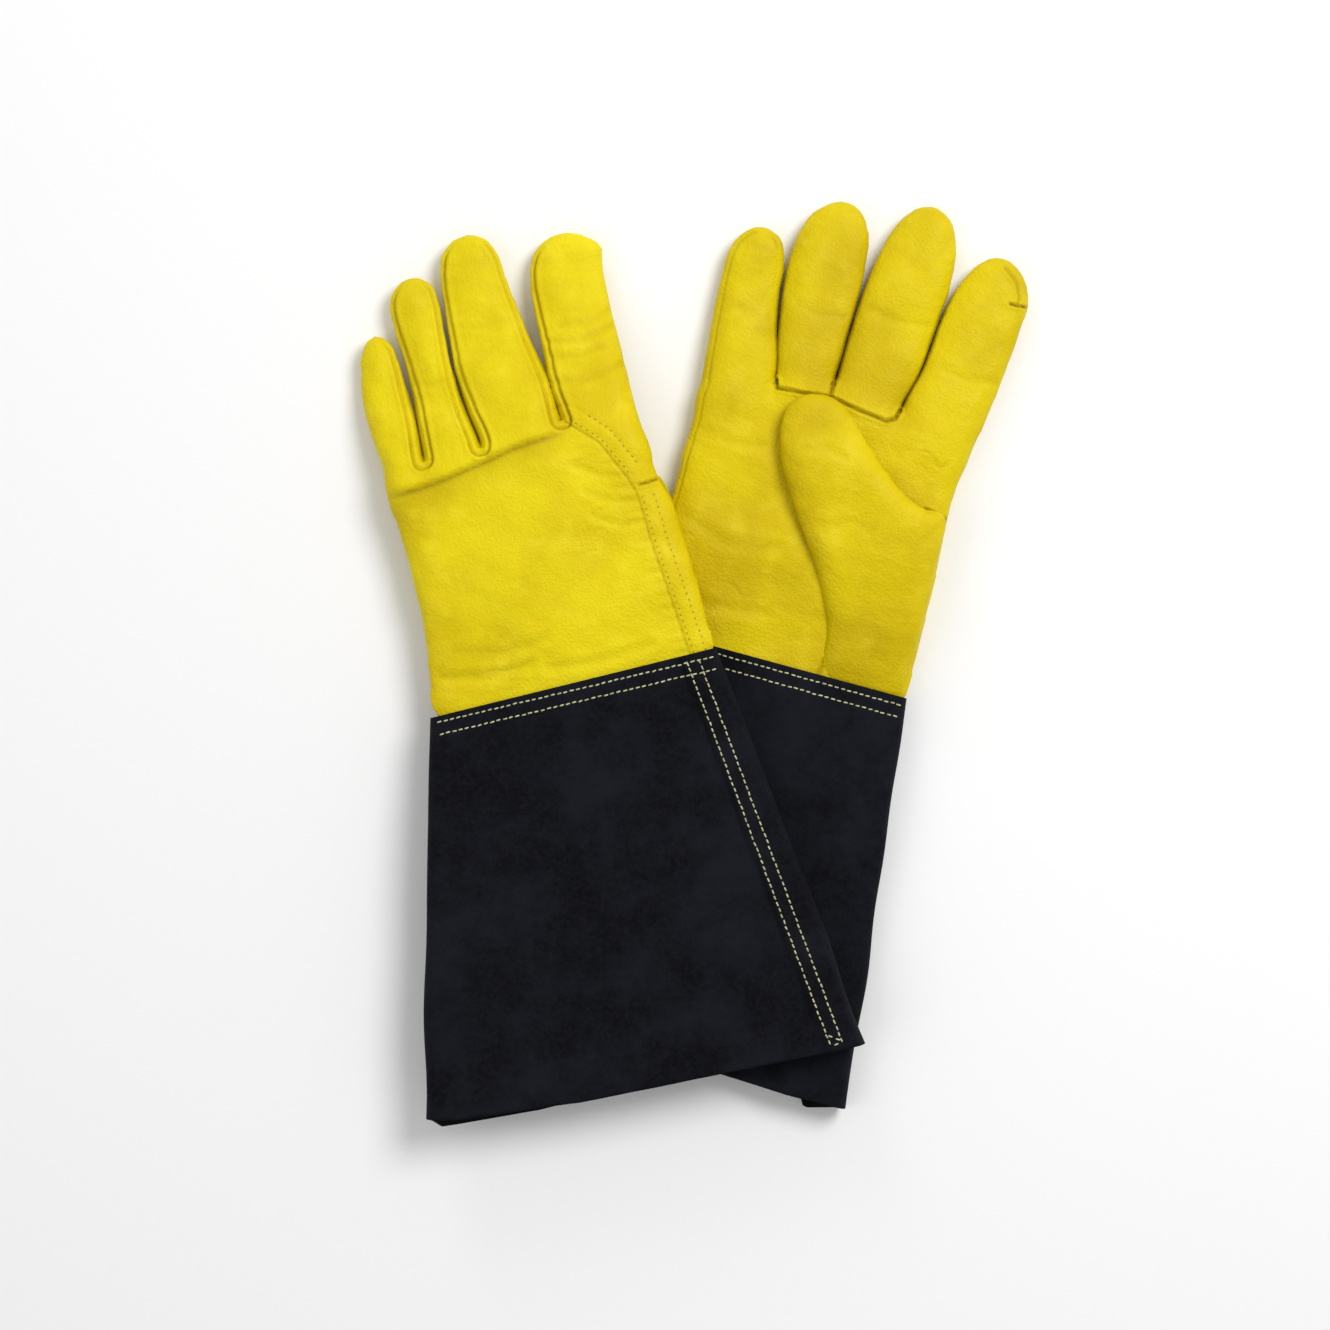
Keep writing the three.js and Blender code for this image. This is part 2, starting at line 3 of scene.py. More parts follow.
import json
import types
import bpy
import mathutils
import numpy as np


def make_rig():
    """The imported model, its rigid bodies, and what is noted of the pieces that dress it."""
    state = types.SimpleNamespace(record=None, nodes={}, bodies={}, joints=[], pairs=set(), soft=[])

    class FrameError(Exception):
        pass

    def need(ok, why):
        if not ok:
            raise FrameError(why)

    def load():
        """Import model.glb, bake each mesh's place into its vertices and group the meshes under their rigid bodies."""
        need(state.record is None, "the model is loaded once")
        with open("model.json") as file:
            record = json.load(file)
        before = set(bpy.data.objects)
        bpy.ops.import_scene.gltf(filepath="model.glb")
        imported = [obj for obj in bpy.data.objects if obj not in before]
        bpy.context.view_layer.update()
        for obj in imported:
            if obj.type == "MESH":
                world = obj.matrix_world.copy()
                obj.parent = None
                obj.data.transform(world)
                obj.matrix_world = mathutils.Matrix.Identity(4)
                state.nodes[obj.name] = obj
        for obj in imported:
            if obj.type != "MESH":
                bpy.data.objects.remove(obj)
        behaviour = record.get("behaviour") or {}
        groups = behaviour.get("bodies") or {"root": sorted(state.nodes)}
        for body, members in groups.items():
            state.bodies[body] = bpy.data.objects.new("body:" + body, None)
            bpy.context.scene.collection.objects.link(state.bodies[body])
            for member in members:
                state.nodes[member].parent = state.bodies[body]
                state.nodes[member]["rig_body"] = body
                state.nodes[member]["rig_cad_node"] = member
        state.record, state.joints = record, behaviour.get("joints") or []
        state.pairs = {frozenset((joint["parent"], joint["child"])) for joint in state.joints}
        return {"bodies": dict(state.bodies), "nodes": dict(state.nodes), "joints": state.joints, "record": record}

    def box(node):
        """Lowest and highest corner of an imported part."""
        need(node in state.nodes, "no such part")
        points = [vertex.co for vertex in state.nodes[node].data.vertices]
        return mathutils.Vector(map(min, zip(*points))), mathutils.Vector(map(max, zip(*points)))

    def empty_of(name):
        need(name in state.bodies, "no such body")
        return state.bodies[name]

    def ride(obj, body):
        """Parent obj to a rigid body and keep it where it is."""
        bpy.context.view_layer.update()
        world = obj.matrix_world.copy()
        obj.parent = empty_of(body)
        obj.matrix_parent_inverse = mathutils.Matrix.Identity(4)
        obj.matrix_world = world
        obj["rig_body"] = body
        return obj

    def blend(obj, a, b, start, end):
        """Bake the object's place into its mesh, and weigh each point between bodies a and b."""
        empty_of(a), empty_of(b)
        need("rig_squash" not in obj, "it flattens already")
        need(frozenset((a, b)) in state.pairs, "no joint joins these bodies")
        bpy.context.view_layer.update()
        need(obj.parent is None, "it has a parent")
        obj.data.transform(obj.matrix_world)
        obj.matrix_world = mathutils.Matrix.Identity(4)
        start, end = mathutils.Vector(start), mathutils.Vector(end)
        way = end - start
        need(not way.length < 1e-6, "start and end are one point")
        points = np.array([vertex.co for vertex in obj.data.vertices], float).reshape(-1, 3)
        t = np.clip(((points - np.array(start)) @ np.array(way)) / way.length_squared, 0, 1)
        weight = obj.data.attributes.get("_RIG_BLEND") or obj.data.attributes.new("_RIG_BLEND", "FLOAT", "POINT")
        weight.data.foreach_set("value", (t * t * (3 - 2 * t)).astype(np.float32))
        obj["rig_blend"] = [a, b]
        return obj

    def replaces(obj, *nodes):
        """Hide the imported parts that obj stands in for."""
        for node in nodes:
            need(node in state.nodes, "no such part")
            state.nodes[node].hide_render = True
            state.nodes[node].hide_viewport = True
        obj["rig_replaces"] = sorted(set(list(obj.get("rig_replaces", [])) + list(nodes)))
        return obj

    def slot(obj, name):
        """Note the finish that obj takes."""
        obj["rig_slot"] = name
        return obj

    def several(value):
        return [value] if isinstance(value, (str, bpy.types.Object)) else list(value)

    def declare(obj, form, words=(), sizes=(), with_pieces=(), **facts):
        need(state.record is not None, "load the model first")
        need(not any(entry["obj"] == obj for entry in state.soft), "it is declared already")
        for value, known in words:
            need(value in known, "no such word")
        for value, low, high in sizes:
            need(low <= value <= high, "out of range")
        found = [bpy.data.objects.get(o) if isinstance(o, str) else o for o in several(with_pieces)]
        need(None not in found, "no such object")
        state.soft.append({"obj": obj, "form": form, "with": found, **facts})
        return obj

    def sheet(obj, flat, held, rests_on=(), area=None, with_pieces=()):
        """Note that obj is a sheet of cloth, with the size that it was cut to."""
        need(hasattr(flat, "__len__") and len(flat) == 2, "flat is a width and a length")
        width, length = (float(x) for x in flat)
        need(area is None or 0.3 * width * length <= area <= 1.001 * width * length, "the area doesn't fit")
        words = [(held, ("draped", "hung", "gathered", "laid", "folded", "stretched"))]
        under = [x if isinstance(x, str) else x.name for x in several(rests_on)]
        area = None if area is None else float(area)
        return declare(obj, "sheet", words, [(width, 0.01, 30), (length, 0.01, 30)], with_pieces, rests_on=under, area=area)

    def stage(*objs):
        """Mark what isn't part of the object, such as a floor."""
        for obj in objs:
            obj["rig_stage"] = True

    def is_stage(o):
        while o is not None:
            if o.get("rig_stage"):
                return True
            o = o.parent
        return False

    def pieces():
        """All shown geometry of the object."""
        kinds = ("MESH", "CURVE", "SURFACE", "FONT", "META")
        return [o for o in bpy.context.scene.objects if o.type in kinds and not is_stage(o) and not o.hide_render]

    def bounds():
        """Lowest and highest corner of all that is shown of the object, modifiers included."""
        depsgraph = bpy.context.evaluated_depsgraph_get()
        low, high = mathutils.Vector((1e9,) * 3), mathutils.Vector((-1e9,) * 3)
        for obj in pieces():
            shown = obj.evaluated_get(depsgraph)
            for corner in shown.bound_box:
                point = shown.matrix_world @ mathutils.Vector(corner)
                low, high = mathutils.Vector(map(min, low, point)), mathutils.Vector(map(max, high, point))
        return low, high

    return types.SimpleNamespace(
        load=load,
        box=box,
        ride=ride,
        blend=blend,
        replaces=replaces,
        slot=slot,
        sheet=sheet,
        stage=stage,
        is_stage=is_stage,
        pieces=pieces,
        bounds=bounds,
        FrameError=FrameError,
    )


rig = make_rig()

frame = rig.load()

import json
import math

import bpy
import mathutils
import numpy as np
import openvdb

CAD_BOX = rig.bounds()

# ---------------------------------------------------------------- driving dimensions, mm
# A glove's own frame is the CAD's: u runs across the hand to the thumb side, v from the wrist to
# the fingertips, and w through the glove from the back of the hand to the palm.
VOXEL = 1.7  # of the grid that the skins are made on
LOW = (-84.0, -18.0, -4.0)  # the grid's two corners
HIGH = (76.0, 230.0, 32.0)

LEATHER = 1.4  # thickness of a hide
GAUNTLET_LENGTH = 187.0
WRIST_HALF = 67.5  # half the gauntlet's width where it meets the hand
MIDWAY_HALF = 85.0  # and midway
MOUTH_HALF = 102.0  # and at the arm end
MOUTH_SHIFT = -4.9  # how far the mouth's middle lies towards the little finger
TOP_SLANT = 0.032  # rise of the gauntlet's upper edge for each mm towards the thumb
GAUNTLET_MIDDLE = 7.0  # height of its middle plane
LAP_WIDTH = 12.0  # how far the gauntlet's two long edges overlap
LAP_AT = 17.0  # from the gauntlet's thumb side to the cut edge of the lap
LAP_ROW = 1.6  # from that cut edge to its first row of thread
ROW_SPACING = 5.6  # between the two rows of a double seam
ROW_FROM_EDGE = 3.2  # from the gauntlet's upper edge to its first row
SEAM_ROW = 1.8  # from the back seam to its first row

HAND_THICKNESS = 16.0
WRIST_BACK = 3.7  # heights of the hand's two faces inside the gauntlet
WRIST_PALM = 10.3
HAND_MIDDLE = 7.5  # height at which the back and the palm part
KNUCKLE_THICKNESS = 16.4
FINGER_TIP = 12.0
HAND_RIM = 13.0  # how far in from the outline each form is rounded
FINGER_RIM = 11.5
THUMB_RIM = 12.0
FINGER_MERGE = 2.5  # how softly a finger grows out of the hand
BEND_REACH = 17.0  # length over which the leather bends at a joint

STITCH = 2.9  # length of a stitch, with the gap to the next
THREAD_RADIUS = 0.36
COLUMN_STEP = 1.9  # mesh of a gauntlet
ROW_STEP = 2.0
MM = 1000.0  # in a metre

THUMB_FOOT = [(30, -8), (24, 4), (21.8, 21), (14.9, 36.5)]  # where its wing's fold begins
# Knuckles are the crotches and outer corners that the fingers grow from, and tips their ends.
LEFT = dict(
    name="left", palm_up=False, grow=0.2, grow_low=0.9, tuck=0.0,
    knuckles=[(-67.3, 117), (-47.9, 112.5), (-20, 113), (18, 118), (54, 121)],
    tips=[(-59, 174), (-37, 197), (-9, 211), (35, 203)],
    thumb=[*THUMB_FOOT, (3, 50), (-10, 60), (-24, 72),
           (-34, 84), (-37, 96), (-32, 105), (-22, 108), (-10, 105), (4, 99), (20, 94),
           (38, 90.4), (47, 87.5), (58, 84), (62, 60), (63.5, 25), (60, -8)],
    hem=dict(back=[(-102, 6.2), (-88, 3.4), (-50, 1.4), (-30, 0), (102, 0)],
             palm=[(-102, 6.2), (-95, 0.6), (-88, 0.2), (-50, -0.8), (-36, 0), (102, 0)]),
    hand=[(-59, -13), (-63.4, -4), (-66.2, 3.5), (-64.4, 16), (-62.5, 41), (-63.5, 68), (-65.8, 97),
          (-65, 110), (-57, 115), (-48, 112.3), (-34, 117), (-20, 112.8), (0, 119),
          (18, 117.6), (36, 120), (49.5, 115), (53.8, 98), (56.6, 84), (60.6, 70),
          (63.2, 45), (65, 18), (66, 3.5), (63.4, -4), (59, -13)],
    fingers=dict(
        little=[(-65, 92), (-66, 112), (-68.6, 128), (-70, 142), (-69, 154), (-66.8, 165),
                (-62.6, 172), (-57.6, 174), (-53, 170.5), (-50.2, 163), (-48.2, 138), (-48, 118), (-50, 92)],
        ring=[(-45, 92), (-46.2, 115), (-46.0, 135), (-46.8, 155), (-48.4, 172), (-48.4, 186),
              (-44.3, 194), (-36.5, 197.4), (-29.2, 193.6), (-26.4, 186), (-26.4, 168),
              (-26.6, 151), (-24.4, 132), (-21.4, 115), (-22, 92)],
        middle=[(-18, 92), (-19.2, 115), (-22.6, 132), (-24.6, 151), (-24.6, 175),
                (-23.4, 195), (-19, 206.5), (-9, 211.5), (0, 208), (4.7, 199), (6.4, 187),
                (10, 165), (14.2, 146), (16.6, 128), (17.0, 112), (16, 92)],
        index=[(21, 92), (19.4, 115), (17.6, 128), (16.4, 141), (16.2, 165), (16.8, 185),
               (20.4, 196.5), (28, 202.5), (37, 203.6), (45, 200.4), (51.4, 195), (51.8, 190),
               (50.6, 184), (50.6, 168), (51.4, 150), (52.2, 130), (53, 110), (53, 92)],
    ),
)
RIGHT = dict(
    name="right", palm_up=True, grow=0.9, grow_low=0.3, tuck=4.5,
    knuckles=[(-68.3, 117), (-34.6, 122), (-9, 129.5), (23.4, 126.5), (63, 134)],
    tips=[(-60, 189), (-29, 211.5), (10.5, 221.5), (49.5, 208)],
    thumb=[*THUMB_FOOT, (4, 52.6), (-7.7, 67.6),
           (-18.9, 84.7), (-25.6, 99), (-27, 110), (-22.6, 119), (-14.5, 123),
           (-5, 122.6), (3, 118), (12.6, 109.5), (26.1, 97.9), (38.2, 90.4), (47, 87.5),
           (58, 85.5), (60.5, 60), (63.5, 25), (60, -8)],
    hem=dict(back=[(-102, 0), (82, 0.4), (83.5, -4.4), (102, 1.2)],
             palm=[(-102, 0), (74, 0), (102, 1.6)]),
    hand=[(-59, -13), (-63.4, -4), (-66.2, 3.5), (-64, 25), (-64.3, 58), (-65.3, 76), (-65.8, 94),
          (-66.4, 111), (-50, 122), (-35, 121.5), (-22, 129), (-9, 129.6), (8, 133),
          (23.4, 126.8), (42, 133), (57, 126), (59.4, 112), (58.8, 98), (59.6, 86),
          (62.7, 56), (65.4, 18), (66, 3.5), (63.4, -4), (59, -13)],
    fingers=dict(
        little=[(-62, 96), (-67.4, 114), (-69.8, 130), (-72.6, 150), (-73.4, 168), (-71, 180.5),
                (-64.5, 188), (-56.5, 188.4), (-50.8, 184), (-47.2, 173), (-45.8, 162),
                (-41.6, 145), (-36.6, 126), (-38, 100)],
        ring=[(-33, 102), (-34.0, 124), (-39.8, 145), (-42.8, 160), (-44.8, 176), (-44.6, 192),
              (-40, 204), (-30.5, 211), (-21.5, 209.5), (-15, 201), (-12.4, 190),
              (-10.6, 173), (-10.4, 155), (-10.2, 134), (-12, 106)],
        middle=[(-7, 106), (-7.6, 134), (-8.2, 155), (-8.2, 173), (-6.4, 193), (-3, 208),
                (4, 218.5), (12.5, 221), (21, 216), (26.5, 203), (28.2, 188), (27.6, 174),
                (26.6, 150), (22.6, 130), (20, 108)],
        index=[(27, 106), (25.4, 130), (28.6, 148), (29.4, 168), (31.6, 186), (36.6, 200),
               (43.5, 207), (52, 207.6), (60, 202), (64.6, 192.5), (65.4, 178), (65, 160),
               (63.4, 141), (61, 122), (55, 106)],
    ),
)
FINGERS = ["little", "ring", "middle", "index"]
THUMB_BEND = (1, 57), (47.5, 88)


# ---------------------------------------------------------------- helpers
def smoothstep(low, high, x):
    t = np.clip((x - low) / (high - low), 0.0, 1.0)
    return t * t * (3 - 2 * t)


def smooth_min(a, b, k):
    h = np.clip(0.5 + 0.5 * (b - a) / k, 0.0, 1.0)
    return b * (1 - h) + a * h - k * h * (1 - h)


def rounded(points, step=0.8):
    """A closed smooth curve through the points, as many close points."""
    p = np.array(points, float)
    n = len(p)
    out = []
    for i in range(n):
        a, b, c, d = p[i - 1], p[i], p[(i + 1) % n], p[(i + 2) % n]
        count = max(2, int(np.linalg.norm(c - b) / step))
        t = (np.arange(count) / count)[:, None]
        out.append(0.5 * (2 * b + (c - a) * t + (2 * a - 5 * b + 4 * c - d) * t**2
                          + (3 * b - a - 3 * c + d) * t**3))
    return np.concatenate(out)


def inside(polygon, x, y):
    """True where x, y lie inside the closed polygon."""
    result = np.zeros(x.shape, bool)
    a = polygon
    b = np.roll(polygon, -1, axis=0)
    for (x0, y0), (x1, y1) in zip(a, b):
        if y0 == y1:
            continue
        crosses = (y0 > y) != (y1 > y)
        result ^= crosses & (x < (x1 - x0) * (y - y0) / (y1 - y0) + x0)
    return result


def distance_to(points, x, y):
    """Distance from each x, y to the nearest of the points."""
    best = np.full(x.shape, 1e9)
    for px, py in points:
        np.minimum(best, (x - px) ** 2 + (y - py) ** 2, out=best)
    return np.sqrt(best)


def signed_union(polygons, x, y):
    """Depth inside the union of the polygons, negative outside."""
    keep = []
    within = np.zeros(x.shape, bool)
    for i, polygon in enumerate(polygons):
        buried = np.zeros(len(polygon), bool)
        for j, other in enumerate(polygons):
            if i != j:
                buried |= inside(other, polygon[:, 0], polygon[:, 1])
        keep.append(polygon[~buried])
        within |= inside(polygon, x, y)
    depth = distance_to(np.concatenate(keep), x, y)
    return np.where(within, depth, -depth)


class Field2D:
    """Values on a grid in u, v, read back between its points."""

    def __init__(self, values, low, step):
        self.values, self.low, self.step = values, low, step

    def __call__(self, u, v):
        nx, ny = self.values.shape
        i = np.clip((u - self.low[0]) / self.step, 0, nx - 1.001)
        j = np.clip((v - self.low[1]) / self.step, 0, ny - 1.001)
        i0, j0 = i.astype(int), j.astype(int)
        fi, fj = i - i0, j - j0
        a = self.values
        return ((a[i0, j0] * (1 - fi) + a[i0 + 1, j0] * fi) * (1 - fj)
                + (a[i0, j0 + 1] * (1 - fi) + a[i0 + 1, j0 + 1] * fi) * fj)


def along_line(points, t):
    """Value at t on a line through (t, value) points."""
    p = np.array(points, float)
    return np.interp(t, p[:, 0], p[:, 1])


def line_distance(points, u, v):
    """Distance to a line through the points, and which side of it (positive to its right)."""
    best = np.full(u.shape, 1e9)
    side = np.zeros(u.shape)
    for (u0, v0), (u1, v1) in zip(points[:-1], points[1:]):
        du, dv = u1 - u0, v1 - v0
        t = np.clip(((u - u0) * du + (v - v0) * dv) / (du * du + dv * dv), 0, 1)
        ru, rv = u - u0 - t * du, v - v0 - t * dv
        d = np.hypot(ru, rv)
        nearer = d < best
        best = np.where(nearer, d, best)
        side = np.where(nearer, np.sign(ru * dv - rv * du), side)
    return best, side


class Waves:
    """Smooth random relief, about 1 high, from waves of about one length in every direction."""

    def __init__(self, random, wavelength, count=14):
        directions = random.normal(size=(count, 3))
        directions /= np.linalg.norm(directions, axis=1, keepdims=True)
        lengths = wavelength * random.uniform(0.7, 1.4, size=(count, 1))
        self.directions = directions * 2 * math.pi / lengths
        self.phases = random.uniform(0, 2 * math.pi, size=count)

    def __call__(self, points):
        total = np.zeros(len(points))
        for direction, phase in zip(self.directions, self.phases):
            total += np.sin(points @ direction + phase)
        return total / math.sqrt(len(self.phases))


def bell(distance, width):
    return np.exp(-((distance / width) ** 2))


# ---------------------------------------------------------------- meshes
def vertex_normals(points, faces):
    """Unit normals at the points of a surface of quads."""
    a, b, c, d = (points[faces[:, i]] for i in range(4))
    face_normal = np.cross(c - a, d - b)
    total = np.zeros_like(points)
    for i in range(4):
        np.add.at(total, faces[:, i], face_normal)
    return total / np.maximum(np.linalg.norm(total, axis=1, keepdims=True), 1e-12)


def relax(points, faces, rounds):
    """Evens out the steps that a voxel grid leaves, without shrinking the form."""
    edges = np.concatenate([faces[:, [i, (i + 1) % 4]] for i in range(4)])
    count = np.bincount(edges[:, 0], minlength=len(points))[:, None]
    count = count + np.bincount(edges[:, 1], minlength=len(points))[:, None]
    for step in range(rounds):
        for share in (0.55, -0.57):
            total = np.zeros_like(points)
            np.add.at(total, edges[:, 0], points[edges[:, 1]])
            np.add.at(total, edges[:, 1], points[edges[:, 0]])
            points = points + share * (total / count - points)
    return points


def skin(values, low):
    """Quads over the surface where the values pass through 0, then divided smoothly."""
    grid = openvdb.FloatGrid(background=float(values.max()))
    grid.copyFromArray(np.ascontiguousarray(values, np.float32))
    points, quads = grid.convertToQuads(isovalue=0.0)
    points = relax(points.astype(float), quads, 3)
    points, quads = divided(points, quads)
    points = points * VOXEL + np.array(low)
    a, b, c, d = (points[quads[:, i]] for i in range(4))
    volume = np.einsum("ij,ij->i", a, np.cross(b, c)).sum()
    if volume < 0:
        quads = quads[:, ::-1]
    return points, quads


def divided(points, quads):
    """The same surface with four times as many quads."""
    mesh = bpy.data.meshes.new("coarse")
    mesh.from_pydata(points.tolist(), [], quads.tolist())
    work = bpy.data.objects.new("coarse", mesh)
    bpy.context.scene.collection.objects.link(work)
    modifier = work.modifiers.new("divide", "SUBSURF")
    modifier.levels = 1
    bpy.context.view_layer.update()
    fine = work.evaluated_get(bpy.context.evaluated_depsgraph_get()).data
    out = np.zeros(len(fine.vertices) * 3)
    fine.vertices.foreach_get("co", out)
    loops = np.zeros(len(fine.loops), np.int64)
    fine.loops.foreach_get("vertex_index", loops)
    bpy.data.objects.remove(work)
    bpy.data.meshes.remove(mesh)
    return out.reshape(-1, 3), loops.reshape(-1, 4)


def add_piece(name, points, quads, normals, painted_shade, material, slot):
    """A smooth mesh from metres, keeping only the points its quads use."""
    used, index = np.unique(quads, return_inverse=True)
    quads = index.reshape(quads.shape)
    mesh = bpy.data.meshes.new(name)
    mesh.vertices.add(len(used))
    mesh.vertices.foreach_set("co", points[used].astype(np.float32).ravel())
    mesh.loops.add(quads.size)
    mesh.loops.foreach_set("vertex_index", quads.astype(np.int32).ravel())
    mesh.polygons.add(len(quads))
    mesh.polygons.foreach_set("loop_start", np.arange(0, quads.size, 4, dtype=np.int32))
    mesh.update(calc_edges=True)
    mesh.polygons.foreach_set("use_smooth", np.ones(len(quads), bool))
    # Painted shade per point: how far the material darkens the colour in creases, seams, gaps and hollows.
    shade = mesh.attributes.new("painted_shade", "FLOAT", "POINT")
    shade.data.foreach_set("value", painted_shade[used].astype(np.float32))
    if normals is not None:
        mesh.normals_split_custom_set_from_vertices(normals[used].tolist())
    mesh.materials.append(material)
    piece = bpy.data.objects.new(name, mesh)
    bpy.context.scene.collection.objects.link(piece)
    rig.slot(piece, slot)
    return piece


# ---------------------------------------------------------------- placing
def joint(name):
    return next(j for j in frame["joints"] if j["name"] == name)


def root(glove, finger):
    """Middle of the knuckle line below a finger."""
    return np.array(glove["knuckles"][finger:finger + 2], float).mean(axis=0)


def upper_droop(u, v):
    """How far the upper glove hangs below flat: its fingertips rest on the table."""
    tip_u, tip_v = np.array(LEFT["tips"], float).T
    t = np.clip((v - 100) / (np.interp(u, tip_u, tip_v) - 114), 0, 1)
    t = t * t * (3 - 2 * t) * 0.55 + t * 0.45
    beside = 7.5 * smoothstep(5, -62, u) * smoothstep(-75, 25, v)
    return 20 * t + beside * (1 - t)


class Placing:
    """Takes a glove's own u, v, w to the shared frame, from two of its knuckle hinges."""

    def __init__(self, glove):
        little = np.array(joint(glove["name"] + "_little_bend")["pos_m"]) * MM
        index = np.array(joint(glove["name"] + "_index_bend")["pos_m"]) * MM
        a, b = root(glove, 0), root(glove, 3)
        span, real = b - a, index[:2] - little[:2]
        turn = math.atan2(real[1], real[0]) - math.atan2(span[1], span[0])
        self.turn = np.array([[math.cos(turn), -math.sin(turn)], [math.sin(turn), math.cos(turn)]])
        self.origin = little[:2] - self.turn @ a
        self.up = 1 if glove["palm_up"] else -1
        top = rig.box(glove["name"] + "_gauntlet")[1].z * MM
        self.back = 0 if glove["palm_up"] else top

    def __call__(self, points):
        flat = points[:, :2] @ self.turn.T + self.origin
        z = self.back + self.up * points[:, 2]
        if self.up < 0:
            z = z - upper_droop(points[:, 0], points[:, 1])
        return np.column_stack([flat, z]) / MM

    def quads(self, quads):
        return quads if self.up > 0 else quads[:, ::-1]

    def point(self, u, v):
        return self(np.array([[u, v, HAND_THICKNESS / 2]], float))[0]


# ---------------------------------------------------------------- the hands
def knuckle_line(glove, u):
    return along_line(glove["knuckles"], u)


def grid_axes():
    axes = [np.arange(lo, hi, VOXEL) for lo, hi in zip(LOW, HIGH)]
    u, v = np.meshgrid(axes[0], axes[1], indexing="ij")
    return u, v, axes[2]


def soft_form(depth, low, high, edge, w):
    """Field of a flat stuffed form: below 0 inside, with its rim rounded over `edge`."""
    half = ((high - low) / 2)[:, :, None]
    q = np.maximum(0, 1 - depth / edge)[:, :, None]
    p = np.abs(w - ((high + low) / 2)[:, :, None]) / half
    return (np.sqrt(q * q + p * p) - 1) * half


def hand_mesh(glove, only=None):
    """Hand and fingers, or the hand and one finger, as one skin in the glove's own frame, in mm.
    Each finger comes from a skin of its own, so that its sides are whole where two touch."""
    u, v, axis = grid_axes()
    first = 0
    if only is not None:
        first = int((min(p[1] for p in glove["knuckles"]) - 14 - LOW[1]) / VOXEL)
        u, v = u[:, first:], v[:, first:]
    w = axis[None, None, :]
    low = WRIST_BACK * (1 - smoothstep(-1, 38, v))
    high = WRIST_PALM + (HAND_THICKNESS - WRIST_PALM) * smoothstep(-1, 55, v)
    field = soft_form(signed_union([rounded(glove["hand"])], u, v), low, high, HAND_RIM, w)
    for i, name in enumerate(FINGERS):
        if only not in (None, i):
            continue
        depth = signed_union([rounded(glove["fingers"][name])], u, v) + growth(glove, u, v)
        taper = (KNUCKLE_THICKNESS - FINGER_TIP) * smoothstep(108, glove["tips"][i][1], v)
        finger = soft_form(depth, 0 * v, KNUCKLE_THICKNESS - taper, FINGER_RIM, w)
        field = smooth_min(field, finger, FINGER_MERGE)
    return skin(field, (LOW[0], LOW[1] + first * VOXEL, LOW[2]))


def growth(glove, u, v):
    """How far the leather bulges past the fingers' outlines: most near the crotches, and none on
    the hand's two outer sides."""
    low_side, high_side = glove["knuckles"][0][0], glove["knuckles"][-1][0]
    up = v - knuckle_line(glove, u)
    between = smoothstep(low_side + 3, low_side + 9, u) * smoothstep(high_side - 3, high_side - 9, u)
    between = np.maximum(between, smoothstep(45, 60, up))
    return (glove["grow"] + glove["grow_low"] * smoothstep(48, 8, up)) * between


def thumb_mesh(glove):
    """The thumb and its wing, a pouch on the palm side."""
    u, v, axis = grid_axes()
    w = axis[None, None, :]
    depth = signed_union([rounded(glove["thumb"])], u, v)
    high = [(-8, 9.4), (0, 10.2), (9, 14), (30, 20.5), (60, 26), (95, 28.6), (125, 27.6)]
    low = [(-8, 5), (20, 5), (50, 9), (72, 14.2), (125, 15)]
    return skin(soft_form(depth, along_line(low, v), along_line(high, v), THUMB_RIM, w), LOW)
